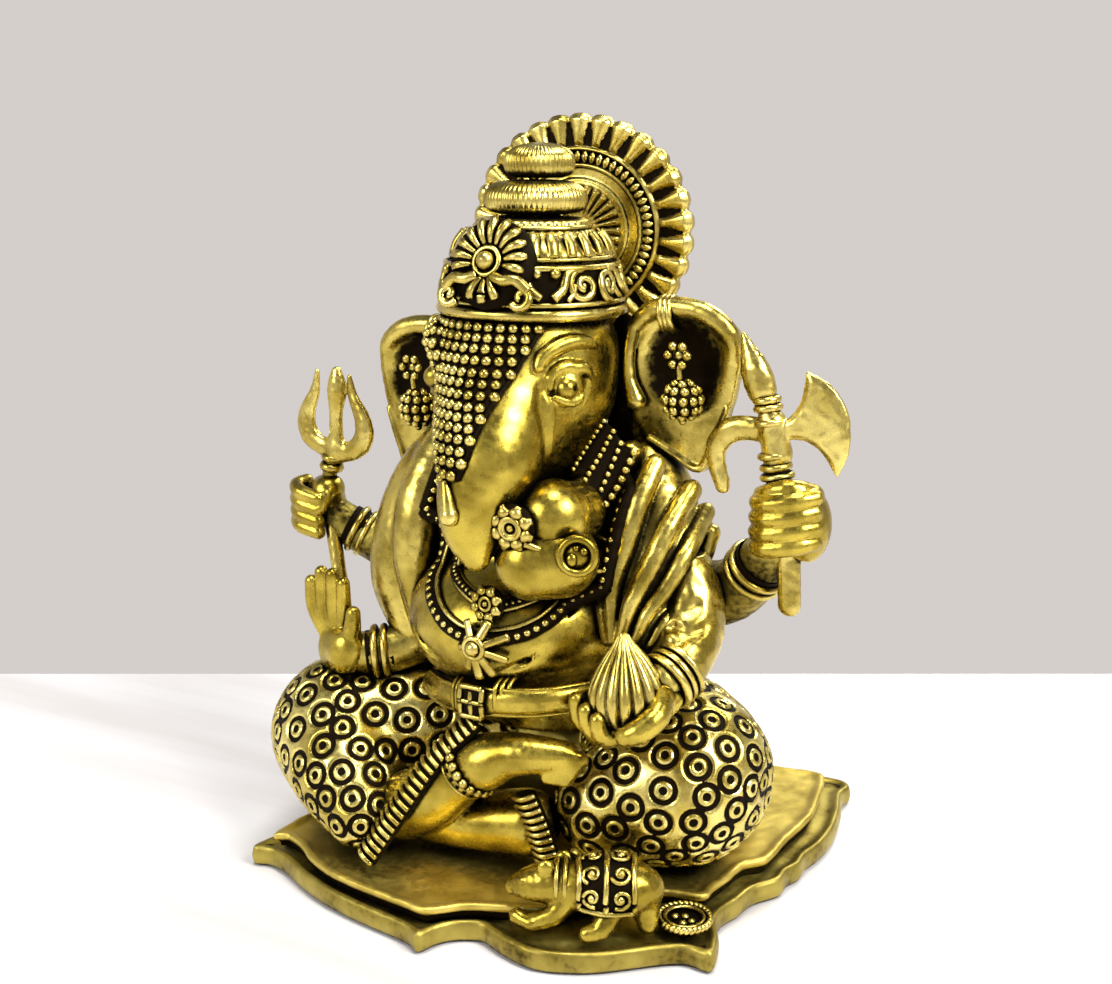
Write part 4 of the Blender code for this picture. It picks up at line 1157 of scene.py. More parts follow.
def build_front_arms():
    """The two front arms in their sleeves, and their bangles."""
    clay = Clay("arm_front_left", cell=0.4)
    clay.rod([(-3.0, 6.8, 10.0, 5.0), (-1.4, 5.8, 5.0, 5.9), (-0.4, 2.8, -0.5, 6.4),
              (0.2, -2.7, -4.5, 5.6), (-0.8, -7.4, -6.7, 4.7)])
    for x, y, z in ((-2, -2, 5), (0, -4, 1), (2.5, -2, 3)):
        clay.rod([(x - 4, y - 1, z - 1, 0.7), (x, y - 2.5, z - 1, 0.9), (x + 4, y + 2, z + 1, 0.7)],
                 soft=1.2, cut_away=True)
    skin = hammer(clay.skin(), 6.5, 0.16).hollows(9, 0.5)
    place("arm_front_left_sleeve", skin, ["arm_front_left"], CLOTH)
    bangles("bangles_front_left_rings", "bangles_front_left", (-0.35, -0.85, -0.4), 5.3,
            (0.7, 0.6, 0.75), 1.75, 4.9)
    clay = Clay("arm_front_right", cell=0.4)
    clay.rod([(3.9, 3.4, 2.5, 5.2), (-0.6, -1.1, 0.2, 4.8), (-5.1, -4.1, -0.4, 4.4),
              (-8, -5.4, -0.6, 4.0)])
    skin = hammer(clay.skin(), 6.5, 0.12).hollows(8, 0.4)
    place("arm_front_right_sleeve", skin, ["arm_front_right"], CLOTH)
    bangles("bangles_front_right_rings", "bangles_front_right", (-0.85, -0.5, -0.1), 5.0,
            (0.75, 0.75), 2.0, 4.6)


def pleat(angle, reach, height):
    """Sharp valleys between the round ribs of the sweet."""
    return reach * (1 - PLEAT_DEPTH * (1 - np.abs(np.cos(PLEATS / 2 * angle))) ** 1.5)


def build_hands():
    """The blessing palm, the cupped hand, and the ribbed sweet that it holds."""
    clay = Clay("palm_right", cell=0.3)
    clay.blob((0.6, 0.2, -6), (5.2, 3.3, 5.8))
    clay.blob((3.2, -1.4, -5.4), (4.4, 3.4, 5.0), turn=(0, 12, 0), soft=1.2)
    for x, top, lean in ((-5.4, 8.0, -0.4), (-3.0, 10.3, -0.2), (-0.4, 10.2, 0), (2.0, 8.6, 0.2)):
        clay.rod([(x * 0.6 + 0.3, 0.2, -2.5, 1.7), (x - 0.1, 0.0, 2.5, 1.65),
                  (x + lean, -0.3, top, 1.4)], soft=0.35)
    clay.rod([(3.9, -1.5, -4.5, 2.2), (5.2, -1.8, 0, 1.8), (5.4, -1.6, 3.2, 1.5)], soft=0.5)
    skin = clay.skin().hollows(8, 0.4)
    place("palm_right_skin", skin, ["palm_right"], SKIN)
    clay = Clay("hand_front_left", cell=0.3)
    clay.rod([(5.7, 3.7, 2.6, 4.4), (1.7, 0.7, -1.2, 5.0), (-2.8, -1.8, -2.0, 4.2)],
             flat=((-0.3, -0.4, 0.85), 0.6))
    for x, y, z in ((-8.2, -2.9, 2.6), (-5.2, -5.0, 1.7), (-2.2, -6.3, 1.0)):
        clay.rod([(0.4, 0.0, -2.9, 2.0), (x * 0.55, y * 0.75, -3.0, 1.8),
                  (x * 0.95, y * 0.98, -0.6, 1.6), (x, y, z, 1.45)], soft=0.3)
    clay.rod([(7.2, 0.6, 4.6, 2.2), (7.8, -3.2, 2.4, 2.4), (5.6, -6.0, 0.2, 2.3),
              (3.4, -6.6, -1.0, 1.9)], soft=0.5)
    skin = clay.skin().hollows(8, 0.4)
    place("hand_front_left_skin", skin, ["hand_front_left"], SKIN)
    profile = curve_through([(2.6, -8.8), (5.4, -7.2), (7.0, -4.1), (6.8, -0.8), (4.6, 3.4),
                             (2.2, 6.6), (0.9, 8.6), (0.05, 8.9)], 0.5)
    skin = turned(profile, middle("modak"), (-0.08, 0, 1), 192, pleat)
    skin.hollows(8, 0.22)
    place("modak_pleats", skin, ["modak"])


# ---------------------------------------------------------------- weapons


def build_trident():
    """Two curved outer prongs, a leaf-shaped middle one, and a shaft."""
    clay = Clay("trident", cell=0.3)
    for side, drop in ((-1, 0.0), (1, 0.6)):
        clay.rod([(0, 1.4, 6.0 - drop, 2.3), (side * 3.5, 1.4, 6.4 - drop, 2.1),
                  (side * 6.6, 1.4, 8.4 - drop, 2.3), (side * 7.5, 1.4, 11.4 - drop, 2.2),
                  (side * 6.7, 1.4, 14.6 - drop, 1.8), (side * 4.9, 1.4, 18.2 - drop, 1.2),
                  (side * 4.1, 1.4, 22.4 - drop, 0.6)], flat=((0, 1, 0), 0.62))
    clay.rod([(0, 1.4, 5, 2.0), (0.2, 1.4, 10, 1.6), (0.4, 1.4, 14.5, 1.6), (0.8, 1.4, 18.5, 2.3),
              (0.9, 1.4, 21.4, 1.7), (0.9, 1.4, 22.6, 1.2)], flat=((0, 1, 0), 0.75))
    clay.rod([(3.3, -2.8, -22.3, 1.5), (1.6, -1.8, -16.9, 1.55), (-2, 1, -2.9, 1.55),
              (-0.6, 1.4, 5.1, 1.7)], soft=0.6)
    skin = hammer(clay.skin(), 4.0, 0.06).hollows(8, 0.4)
    home = middle("trident")
    rings = [hoop(home + (x, 1.4, z), (0.2, 0, 1), 1.7, w, 24)
             for x, z, w in ((-1.3, 2.2, 0.95), (-1.0, 4.2, 0.75))]
    place("trident_cast", joined(skin, *rings), ["trident"])


def build_axe():
    """A crescent blade, a hook behind it, a shaft with rings and a spear tip."""
    clay = Clay("axe", cell=0.3)
    upper = curve_through([(-1.5, 9.9), (1.9, 10.9), (4.3, 14.4), (5.1, 19.7)], 0.8)
    front = curve_through([(5.1, 19.7), (9.2, 17.8), (12.4, 14.0), (13.5, 9.5), (13.2, 5.0),
                           (11.5, 1.1)], 0.8)
    lower = curve_through([(11.5, 1.1), (8.6, 5.2), (5.0, 7.2), (-1.0, 6.7)], 0.8)
    clay.slab(np.vstack((upper, front[1:], lower[1:])), 0.1, 1.1, bevel=0.55)
    clay.rod([(-0.6, 0.1, 7.8, 2.1), (-5.3, 0.1, 8.5, 2.3), (-9.1, 0.1, 7.6, 2.4),
              (-11.5, 0.1, 4.6, 2.1), (-11.4, 0.1, 1.2, 1.8), (-10.4, 0.1, -1.8, 1.6),
              (-10.1, 0.1, -2.9, 1.4)], flat=((0, 1, 0), 0.65))
    clay.rod([(4.0, -0.9, -23.6, 2.1), (2.9, 0.1, -13.3, 2.2), (0.3, 0.1, 0.7, 2.2),
              (-1.9, 0.1, 12.7, 1.9)], soft=0.5)
    clay.rod([(0.3, 0.1, 4.2, 2.7), (-0.9, 0.1, 9.9, 2.6)], soft=0.5)
    clay.rod([(-2.2, 0.1, 13.0, 1.7), (-3.2, 0.1, 15.8, 2.8), (-4.4, 0.1, 19.0, 2.8),
              (-5.8, 0.1, 22.6, 1.5), (-6.9, 0.1, 25.4, 0.6)], soft=0.4, flat=((0, 1, 0), 0.8))
    skin = hammer(clay.skin(), 4.5, 0.08).hollows(8, 0.4)
    home = middle("axe")
    lean = (-0.18, 0, 1)
    rings = [hoop(home + (0.3 - 0.18 * (z - 0.7), 0.1, z), lean, r, 0.7, 28)
             for z, r in ((0.2, 2.6), (1.9, 2.4), (4.0, 2.5), (10.0, 2.4), (12.6, 2.1),
                          (14.0, 2.0))]
    place("axe_cast", joined(skin, *rings), ["axe"])


# ---------------------------------------------------------------- head


def build_head():
    """Head and trunk as one skin, the trunk curling to the figure's left."""
    clay = Clay("head", "trunk", cell=0.35)
    clay.blob((0.0, 3.0, 5.2), (17.4, 17.4, 17.5))
    clay.blob((0.0, 3.0, 10.7), (17.2, 16.8, 12), soft=2)
    clay.blob((0.9, -5.1, 0.2), (12.2, 14.2, 15), soft=4)
    clay.blob((1.9, 4.5, -8.8), (12.5, 12, 8), soft=3)
    clay.rod([(1.5, -6.5, 0.2, 11.0), (2.7, -14.9, -6.2, 8.8)], soft=3)
    clay.home = middle("trunk")
    clay.rod([(-6.5, 4.1, 14.4, 9.2), (-6.0, 1.0, 9.3, 8.6), (-7.2, -1.4, 3.3, 7.1),
              (-7.2, -2.6, -2.0, 5.4), (-5.8, -3.9, -6.8, 2.6)], soft=3)
    clay.rod([(2.4, 2.3, -8.2, 7.0), (7.0, 4.1, -7.4, 7.2)], soft=0.2)
    clay.rod([(-1, 3, -8, 4), (2.4, 2.3, -8.6, 6)], soft=1)
    for side, word in ((1, "left"), (-1, "right")):
        carve_face(clay, middle(f"eye_{word}"), side)
    skin = clay.skin()
    skin.hollows(10, 0.45)
    place("head_and_trunk", skin, ["head", "trunk"], SKIN)
    build_nostril(middle("trunk"))
    build_tusk()
    for word, side in (("left", 1), ("right", -1)):
        build_eye(word, side)
    return skin


def carve_face(clay, home, side):
    """Socket, brow, lids and cheek line; places are (along the face, height) from the eye."""
    clay.home = home
    along, out = np.array((0.66 * side, 0.75, 0)), np.array((0.75 * side, -0.66, 0))

    def line(*places):
        return [tuple(along * a + (0, 0, z)) + (r,) for a, z, r in places]

    clay.blob(tuple(out * 1.9 + along * 0.8 + (0, 0, 0.6)), (4.9, 2.9, 3.9), turn=(0, 0, side * 48),
              soft=1.6, cut_away=True)
    clay.blob(tuple(out * -0.6 + along * 0.4), (3.6, 2.6, 2.9), turn=(0, 0, side * 48), soft=0.5)
    brow = line((-5.4, 3.4, 1.1), (-4.2, 5.4, 1.4), (-0.5, 7.4, 1.5), (3.4, 7.9, 1.3),
                (7.0, 7.0, 0.6))
    clay.rod(clay.settled(brow, 0.7), soft=0.3)
    lid = line((-3.9, -0.6, 0.6), (-1.8, 1.9, 1.2), (1.6, 3.2, 1.35), (4.6, 2.4, 0.9),
               (6.0, 0.2, 0.4))
    clay.rod(clay.settled(lid, 0.6), soft=0.15)
    ledge = line((-3.4, -2.9, 0.6), (-0.6, -2.9, 1.1), (2.2, -2.2, 1.0), (3.6, -1.2, 0.4))
    clay.rod(clay.settled(ledge, 0.6), soft=0.15)
    pouch = line((-2.6, -4.5, 0.3), (0.6, -4.3, 0.5), (3.6, -3.2, 0.5), (5.6, 0, 0.4),
                 (5.2, 3.2, 0.3))
    clay.rod(clay.settled(pouch, 0.1), soft=0.8, cut_away=True)
    cheek = line((-5.8, -1.0, 0.3), (-6.2, -5.0, 0.7), (-6.2, -10.0, 0.8), (-5.2, -15.0, 0.6))
    clay.rod(clay.settled(cheek, 0.0), soft=1.6, cut_away=True)


def build_tusk():
    """The broken tusk: a smooth knob beside the trunk with a flower on it."""
    clay = Clay("tusk_left", cell=0.35)
    clay.blob((0.2, -3.0, -2.2), (6.9, 6.9, 6.8))
    clay.blob((1.2, 3.0, -2.6), (5.6, 6.0, 5.6), soft=2)
    place("tusk_left_skin", clay.skin(), ["tusk_left"], SKIN)
    home = middle("tusk_flower")
    facing = unit((0.08, -0.98, -0.08))
    petals = flower(home + facing * 0.9, facing, 4.5, 8)
    collar = hoop(home + facing * 1.6, facing, 1.9, 0.5, 24)
    stem = wire([home + (2.4, -0.4, -2.8), home + (4.6, 0.6, -3.8), home + (6.2, 2.2, -4.8)], 0.8, 8,
                taper=lambda t: 1 - 0.5 * t)
    place("tusk_flower_petals", joined(petals, collar, stem), ["tusk_flower"])


def build_eye(word, side):
    """An eyeball with a small dark pupil."""
    home = middle(f"eye_{word}")
    out = np.array((0.75 * side, -0.66, 0))
    ball = bead(home + out * 0.4 + (0, 0, -0.5), 2.5, 1.0, out, 0.9, 20, 12)
    pupil = bead(home + out * 2.3 + (0.4 * side, 0.5, -0.3), 0.75, 0.8, out).shade_and_patina_all_over()
    place(f"eye_{word}_ball", joined(ball, pupil), [f"eye_{word}"], SKIN)


def build_nostril(home):
    """The round mouth of the trunk's tip: a lip round a dark cup with small folds in it."""
    facing = unit((0.35, -0.93, 0.1))
    centre = home + (13.5, -1.6, -4.5)
    # Dark cup inside the lip: patina and painted shade in the trunk's mouth
    cup = turned([(3.5, -1.8), (3.3, 0.1), (2.4, -0.5), (0.02, -0.9)], centre, facing, 28).shade_and_patina_all_over(0.85)
    lip = hoop(centre, facing, 3.1, 0.75, 32)
    folds_in = [bead(centre + (-1.2, 0.3, -0.9), 1.3, 1.2), bead(centre + (1.1, 0.5, 0.9), 0.8),
                bead(centre + (-0.4, 0.4, 1.3), 0.7)]
    drum = wire([centre - facing * 3.5, centre - facing * 0.2], 3.3, 24)
    place("trunk_tip", joined(cup, lip, drum, *folds_in), [], SKIN)


NET_ROWS = 14
NET_GAP = 2.35
NET_EDGES = [(13.9, -14.3, 9.2), (7.6, -12.8, 7.2), (-0.4, -9.2, 4.6), (-8.4, -3.7, 2.6),
             (-12.0, -1.6, 1.2)]


def build_brow_net(tree):
    """Rows of beads hung over the forehead, narrowing to a drop on the trunk.

    NET_EDGES holds the height, left side and right side of the net from its middle.
    """
    home = middle("brow_net")
    edges = curve_through(NET_EDGES, 0.5)
    inward = Vector((0, 1, 0))

    def drape(x, z, lift):
        start = Vector(home + (x, -40, z))
        spot, normal, _, _ = tree.ray_cast(start, inward)
        return np.array(spot) + lift * np.array(normal)

    grid = np.array([[drape(x, z, 0.35) for x in np.linspace(left, right, 24)]
                     for z, left, right in edges])
    # Dark sheet under the bead rows: patina and painted shade between the beads
    ground = sheet_of(grid).shade_and_patina_all_over()
    parts = [ground]
    falls = np.concatenate(([0], np.cumsum(np.linalg.norm(np.diff(grid[:, 12], axis=0), axis=1))))
    for k in range(NET_ROWS):
        index = np.argmin(np.abs(falls - (k + 0.6) * falls[-1] / NET_ROWS))
        row = even_points(grid[index], NET_GAP)
        if k % 2 and len(row) > 2:
            row = (row[1:] + row[:-1]) / 2
        for spot in row[1 - k % 2:] if len(row) > 2 else row:
            parts.append(bead(spot + (0, -0.35, 0), 1.04, 1.0))
    for spot in even_points(grid[:, 0], 1.75):
        parts.append(bead(spot + (-0.2, -0.3, 0), 0.98, 0.85, (0.4, 0, 1)))
    line = wire(grid[:, -1] + (0.5, -0.1, 0), 0.4, 8).shade_and_patina_all_over()
    parts.append(line)
    drop = [drape(x, z, 0.5) for x, z in ((-1.0, -12.4), (-0.2, -15.4), (0.3, -18.4))]
    parts.append(wire(np.hstack((drop, [[0.7], [1.2], [1.75]])), 1.0, 12, 0.4))
    parts.append(bead(drop[-1], 1.76, 1.1, sides=16, rows=10))
    place("brow_net_beads", joined(*parts), ["brow_net"])


# ---------------------------------------------------------------- ears

# Outline of the left ear from its middle, (x, z)
EAR = [(-7.1, 13.5), (-2.1, 15.7), (2.9, 16.1), (7.9, 14.7), (11.6, 11.2), (12.7, 5.5),
       (11.4, -1.5), (9.4, -8.0), (7.4, -13.2), (5.8, -15.9), (0.4, -13.6), (-5.6, -10.8),
       (-9.2, -6.5), (-9.6, 4.5)]


def build_ears():
    """Hollow ears with a rolled rim, a clip over the rim and a hanging earring."""
    for word, side in (("left", 1), ("right", -1)):
        clay = Clay(f"ear_{word}", cell=0.35, margin=4)
        clay.slab([(side * x, z) for x, z in EAR], 0.2, 1.9, bevel=0.5)
        clay.blob((side * -11.5, 1.2, 0.5), (4.6, 1.6, 13), soft=1)
        clay.blob((side * -12.0, 3.0, -13.0), (7.5, 2.6, 9.0), soft=1)
        clay.blob((side * 1.5, -3.0, 4.5), (8.8, 4.2, 9.6), turn=(0, side * 10, 0), soft=0.8,
                  cut_away=True)
        # rolled upper rim, thin lower edge, and the inner curl with its drop
        clay.rod([(side * -8.8, -1.4, 11.0, 1.6), (side * -4.6, -1.4, 14.4, 1.9),
                  (side * 1.4, -1.4, 15.0, 2.0), (side * 6.6, -1.4, 13.8, 2.0),
                  (side * 10.4, -1.0, 10.6, 1.8), (side * 11.4, -0.4, 6.4, 1.2),
                  (side * 10.8, -0.2, 2.4, 0.7)], soft=0.6)
        clay.rod([(side * 10.6, -1.6, -3.0, 0.5), (side * 8.2, -1.8, -9.6, 0.6),
                  (side * 5.4, -1.9, -15.0, 0.7), (side * 0.2, -1.9, -12.8, 0.6),
                  (side * -5.2, -1.9, -10.2, 0.5)], soft=0.5)
        clay.rod([(side * -8.6, -1.8, 11.0, 1.2), (side * -8.9, -3.0, 6.0, 1.2),
                  (side * -8.4, -3.6, 1.2, 1.3), (side * -6.9, -3.8, -2.6, 1.9)], soft=0.4)
        skin = clay.skin()
        home = middle(f"ear_{word}")
        # Patina and painted shade in the ear's hollow bowl, and painted shade in a strip at the ear's
        # root beside the head
        bowl = np.linalg.norm((skin.points - home - (side * 1.5, -2.0, 4.5)) / (8.6, 4.0, 9.8),
                              axis=1)
        skin.shade_and_patina = 0.95 * (1 - smooth_step(0.84, 1.04, bowl))
        root = skin.points[:, 0] * side < (home[0] * side - 9.4)
        skin.shade_and_patina[root & (abs(skin.points[:, 1] - home[1] + 0.2) < 1.0)] = 0.9
        hammer(skin, 4.5, 0.05).hollows(9, 0.5)
        place(f"ear_{word}_shell", skin, [f"ear_{word}"], CLOTH)
        home = middle(f"ear_clip_{word}")
        clip = [hoop(home + (0.9 * k, 0.2, 0.6), (1, 0, 0.15 * side), 3.1, 0.62, 24)
                for k in (-1, 0, 1)]
        place(f"ear_clip_{word}_band", joined(*clip), [f"ear_clip_{word}"])
        build_earring(word, middle(f"earring_{word}"))


def build_earring(word, home):
    """A ring of beads, a link, and a ball studded with beads."""
    stud, ball = home + (-1.0, 0.6, 5.2), home + (-0.3, 0.2, -3.2)
    # Dark ball under the studding beads: patina and painted shade between them
    core = bead(ball, 3.3, sides=20, rows=12).shade_and_patina_all_over(0.9)
    parts = [bead(stud, 1.5), core]
    for k in range(6):
        turn = math.pi * k / 3
        parts.append(bead(stud + (1.9 * math.cos(turn), -1.6, 1.9 * math.sin(turn)), 0.85))
    parts.append(wire([home + (-0.9, -0.6, 3.4), home + (-0.6, -0.6, 0.6)], 0.5, 8))
    for row, (tilt, number) in enumerate(((0.45, 5), (0.95, 9), (1.5, 11), (2.05, 9), (2.6, 5))):
        for k in range(number):
            turn = 2 * math.pi * (k + 0.5 * (row % 2)) / number
            way = np.array((math.sin(tilt) * math.cos(turn), math.sin(tilt) * math.sin(turn),
                            math.cos(tilt)))
            parts.append(bead(ball + 3.35 * way, 0.92, sides=8, rows=5))
    parts.append(bead(home + (-0.2, 0.2, -7.1), 0.8))
    place(f"earring_{word}_drop", joined(*parts), [f"earring_{word}"])


# ---------------------------------------------------------------- crown and halo


def pressed(skin, node):
    """Narrow a turned tier from front to back, as its CAD node is."""
    low, high = box_of(node)
    home = middle(node)
    share = (high[1] - low[1]) / (high[0] - low[0])
    skin.points[:, 1] = home[1] + (skin.points[:, 1] - home[1]) * share
    return skin


def around(node, radius, height, count, phase=0.0):
    """Spots and outward directions evenly round a crown tier."""
    low, high = box_of(node)
    home = middle(node)
    share = (high[1] - low[1]) / (high[0] - low[0])
    for k in range(count):
        turn = 2 * math.pi * (k + phase) / count
        out = np.array((math.sin(turn), -math.cos(turn) * share, 0))
        yield home + out * radius + (0, 0, height), unit(out)


def bun(name, node, profile, ribs, lean):
    """A coil of hair or cloth on the crown, finely ribbed and dark underneath."""
    def texture(angle, reach, height):
        return reach + 0.16 * np.cos(ribs * angle)

    skin = turned(curve_through(profile, 0.4), middle(node), sides=240, ripple=texture)
    skin = pressed(skin, node)
    skin.points += lean
    skin.hollows(6, 0.16)
    low = box_of(node)[0][2]
    # Patina and painted shade under the coil, darkest at its bottom edge
    skin.shade_and_patina = np.maximum(skin.shade_and_patina, 1 - smooth_step(low + 0.3, low + 2.0, skin.points[:, 2]))
    place(name, skin, [node])


def spiral(centre, side, up, radius, turns, start, sense):
    """Points of a flat scroll that winds in to its middle."""
    t = np.linspace(0, 1, 22)
    angle = start + sense * turns * 2 * np.pi * t
    reach = radius * (1 - 0.82 * t)
    return [centre + r * (math.cos(a) * side + math.sin(a) * up) for r, a in zip(reach, angle)]


def lobes(angle, reach, height):
    """Broad petals low on the tier, finer ones above."""
    if height < 1.0:
        return reach + 0.45 * np.abs(np.cos(15 * angle)) - 0.3
    return reach + 0.30 * np.abs(np.cos(20 * angle))


def build_crown():
    """Two coils, a petalled tier, the scrolled band and the front ornament."""
    bun("crown_upper_bun_cast", "crown_upper_bun",
        [(4.2, -3.2), (6.0, -2.5), (6.6, -0.8), (6.2, 1.0), (4.6, 2.3), (2.2, 3.0), (0.02, 3.2)], 46,
        (1.4, 0.6, 0))
    bun("crown_lower_bun_cast", "crown_lower_bun",
        [(6.2, -3.1), (8.9, -2.4), (9.8, -0.3), (9.0, 1.6), (6.8, 2.8), (3.4, 3.1)], 60,
        (0.7, 0.3, 0))
    node = "crown_petals"
    home = middle(node)
    profile = curve_through([(15.6, -3.7), (15.7, -2.6), (14.4, -0.9), (12.4, 0.6), (10.9, 1.6),
                             (10.7, 2.6), (9.8, 3.3), (6.0, 3.7)], 0.4)
    skin = pressed(turned(profile, home, sides=360, ripple=lobes), node)
    skin.hollows(8, 0.3)
    parts = [skin]
    for spot, out in around(node, 13.2, 0.0, 26):
        side = np.cross((0, 0, 1), out)
        parts.append(wire([spot + side * 0.1 + (0, 0, 1.0), spot + out * 1.4 + (0, 0, -0.8),
                           spot + out * 2.2 + (0, 0, -3.0)], 1.15, 8, flat=0.55, up=out))
    hoops = [pressed(hoop(home + (0, 0, 1.9), (0, 0, 1), 11.0, 0.5, 96), node),
             pressed(hoop(home + (0, 0, -3.4), (0, 0, 1), 15.7, 0.45, 96), node)]
    place("crown_petals_cast", joined(*parts, *hoops), [node])
    build_crown_band()
    build_rosette()


def build_crown_band():
    """A dark wall between plain hoops, with scrolls that mirror each other in pairs."""
    node = "crown_band"
    home = middle(node)
    profile = curve_through([(16.6, -5.0), (17.0, -2.6), (16.8, 0.5), (16.4, 3.6), (15.8, 5.0)], 0.5)
    # Dark wall behind the scrolls: patina and painted shade between them
    wall = pressed(turned(profile, home, sides=160), node).shade_and_patina_all_over()
    parts = [wall]
    for height, radius, thick in ((-4.0, 17.4, 1.15), (-2.1, 17.6, 0.5), (4.3, 16.5, 0.55)):
        parts.append(pressed(hoop(home + (0, 0, height), (0, 0, 1), radius, thick, 120), node))
    for k, (spot, out) in enumerate(around(node, 16.9, 1.1, 10, 0.5)):
        side = np.cross((0, 0, 1), out)
        up = unit(np.array((0, 0, 1.0)) - 0.25 * out)
        sense = 1 if k % 2 else -1
        parts.append(wire(spiral(spot + side * 2.0 * sense, side, up, 3.1, 1.5, math.pi / 2 * sense,
                                 sense), 0.7, 7, 0.4))
        parts.append(wire([spot + side * sense * 2.0 + up * 3.1, spot - side * sense * 1.0 + up * 2.4,
                           spot - side * sense * 2.4 - up * 0.4 + out * 0.2,
                           spot - side * sense * 4.4 - up * 2.0], 0.85, 7, 0.4))
        parts.append(wire([spot - side * sense * 1.6 - up * 2.6, spot - side * sense * 0.2 - up * 1.2,
                           spot + side * sense * 0.2 + up * 0.4], 0.6, 7, 0.4))
        parts.append(bead(spot - side * sense * 3.4 + up * 2.4, 1.0))
        parts.append(bead(spot + side * sense * 2.0, 0.6))
    place("crown_band_scrolls", joined(*parts), [node])


def build_rosette():
    """A ball in a ring with a fan of petals, three tongues and two long scrolls."""
    home = middle("crown_rosette")
    facing = unit((0, -0.94, 0.34))
    side, over, out = frame_of(facing)
    centre = home + out * 0.2
    # Dark ground behind the petals: patina and painted shade between them
    ground = turned([(8.2, -3.2), (8.2, -0.6), (4.0, -0.1), (0.02, 0.0)], centre, facing, 40).shade_and_patina_all_over()
    parts = [ground, bead(centre + out * 1.2, 1.7, 1, out, sides=16, rows=10),
             hoop(centre + out * 0.8, facing, 2.5, 0.5)]

    def at(x, z, lift):
        return centre + side * x + over * z + out * lift

    for turn in np.linspace(-1.75, 1.75, 11):
        way = math.sin(turn) * side + math.cos(turn) * over
        length = 8.6 - 0.7 * abs(turn)
        parts.append(wire([centre + way * 3.3 + out * 0.5, centre + way * 5.6 + out * 1.1,
                           centre + way * length - out * 0.1], 1.0, 8, 0.4,
                          taper=lambda t: 0.40 + 0.65 * t if t < 0.8 else 0.92 - 2.4 * (t - 0.8),
                          flat=0.8, up=out))
    for x, z in ((-2.6, -6.4), (0.0, -7.2), (2.6, -6.4)):
        parts.append(wire([at(0.3 * x, 0.45 * z, 0.5), at(0.8 * x, 0.8 * z, 0.9), at(x, z, 0.1)],
                          0.85, 8, 0.4, taper=lambda t: 0.6 + 0.5 * t))
    for sense in (-1, 1):
        parts.append(wire([at(1.6 * sense, -2.6, 0.6), at(3.8 * sense, -3.4, 1.0),
                           at(6.4 * sense, -3.2, 0.5), at(8.6 * sense, -4.8, -0.6)], 1.05, 8, 0.4))
        curl = spiral(at(7.6 * sense, -6.0, -0.5), side * sense, -over, 2.1, 1.1, 2.6, -1)
        parts.append(wire(curl, 0.8, 8, 0.4))
    place("crown_rosette_petals", joined(*parts), ["crown_rosette"])


HALO_RIBS = 30
HALO_RAYS = 28
HALO_BEADS = 60


def build_halo():
    """A round plate with a scalloped rim of ribs, bead rows, ridges and a small inner sun."""
    low, high = box_of("halo")
    home = middle("halo")
    wide, tall, half = (high[0] - low[0]) / 2, (high[2] - low[2]) / 2, (high[1] - low[1]) / 2
    radii = np.concatenate((np.linspace(0.02, 0.94, 76), np.linspace(0.95, 1.0, 8)))
    angle = np.linspace(0, 2 * np.pi, HALO_RIBS * 14, endpoint=False)
    r, a = np.meshgrid(radii, angle, indexing="ij")
    rib = np.abs(np.cos(HALO_RIBS / 2 * a))
    rib = smooth_step(0.62 - 0.6 * smooth_step(0.76, 1.0, r), 1.0, rib)

    def ridge(at, width):
        return np.exp(-((r - at) / width) ** 2)

    ray = np.abs(np.cos(HALO_RAYS / 2 * a))
    height = 1.1 * rib ** 0.6 * smooth_step(0.72, 0.76, r) * (1 - smooth_step(0.95, 1.0, r))
    height += 0.8 * ridge(0.70, 0.016) + 0.7 * ridge(0.56, 0.014) + 0.6 * ridge(0.43, 0.014)
    height += 0.8 * ray * smooth_step(0.14, 0.20, r) * (1 - smooth_step(0.36, 0.40, r))
    height += 0.7 * ridge(0.40, 0.012)
    reach = r * (1 - 0.035 * (1 - rib) * smooth_step(0.9, 1.0, r))
    front = np.stack((home[0] + wide * reach * np.sin(a), home[1] - half + 1.0 - height,
                      home[2] + tall * reach * np.cos(a)), -1)
    skin = sheet_of(front, around=True)
    # Patina and painted shade in the low ground between raised ribs, rays and ridges; the plain bands
    # get a fifth of it
    shade_and_patina = (1 - smooth_step(0.0, 0.35, height)) * smooth_step(0.12, 0.2, r)
    plain = ((r > 0.46) & (r < 0.535)) | (r > 0.93)
    skin.shade_and_patina = np.where(plain, 0.2 * shade_and_patina, shade_and_patina).reshape(-1)
    edge = front[-1]
    rim = [edge, edge + (0, 0.8, 0), edge + (0, 2 * half - 1.6, 0)]
    back = [home + (edge - home) * (s, 1, s) + (0, d, 0)
            for s, d in ((0.97, 2 * half - 1.0), (0.7, 2 * half - 0.9), (0.02, 2 * half - 0.8))]
    shell = sheet_of(np.array(rim + back), around=True)
    parts = [skin, shell]
    face = home + (0, 0.5 - half, 0)
    for k in range(HALO_BEADS):
        turn = 2 * math.pi * k / HALO_BEADS
        way = np.array((math.sin(turn) * wide, 0, math.cos(turn) * tall))
        parts.append(wire([face + way * 0.585, face + way * 0.68], 0.85, 8, 0.3,
                          taper=lambda t: 0.25 + 0.75 * math.sin(math.pi * t), flat=0.9))
    place("halo_rays", joined(*parts), ["halo"])


# ---------------------------------------------------------------- anklet and mouse

ANKLET_BEADS = 20
ROPE_TURNS = 30


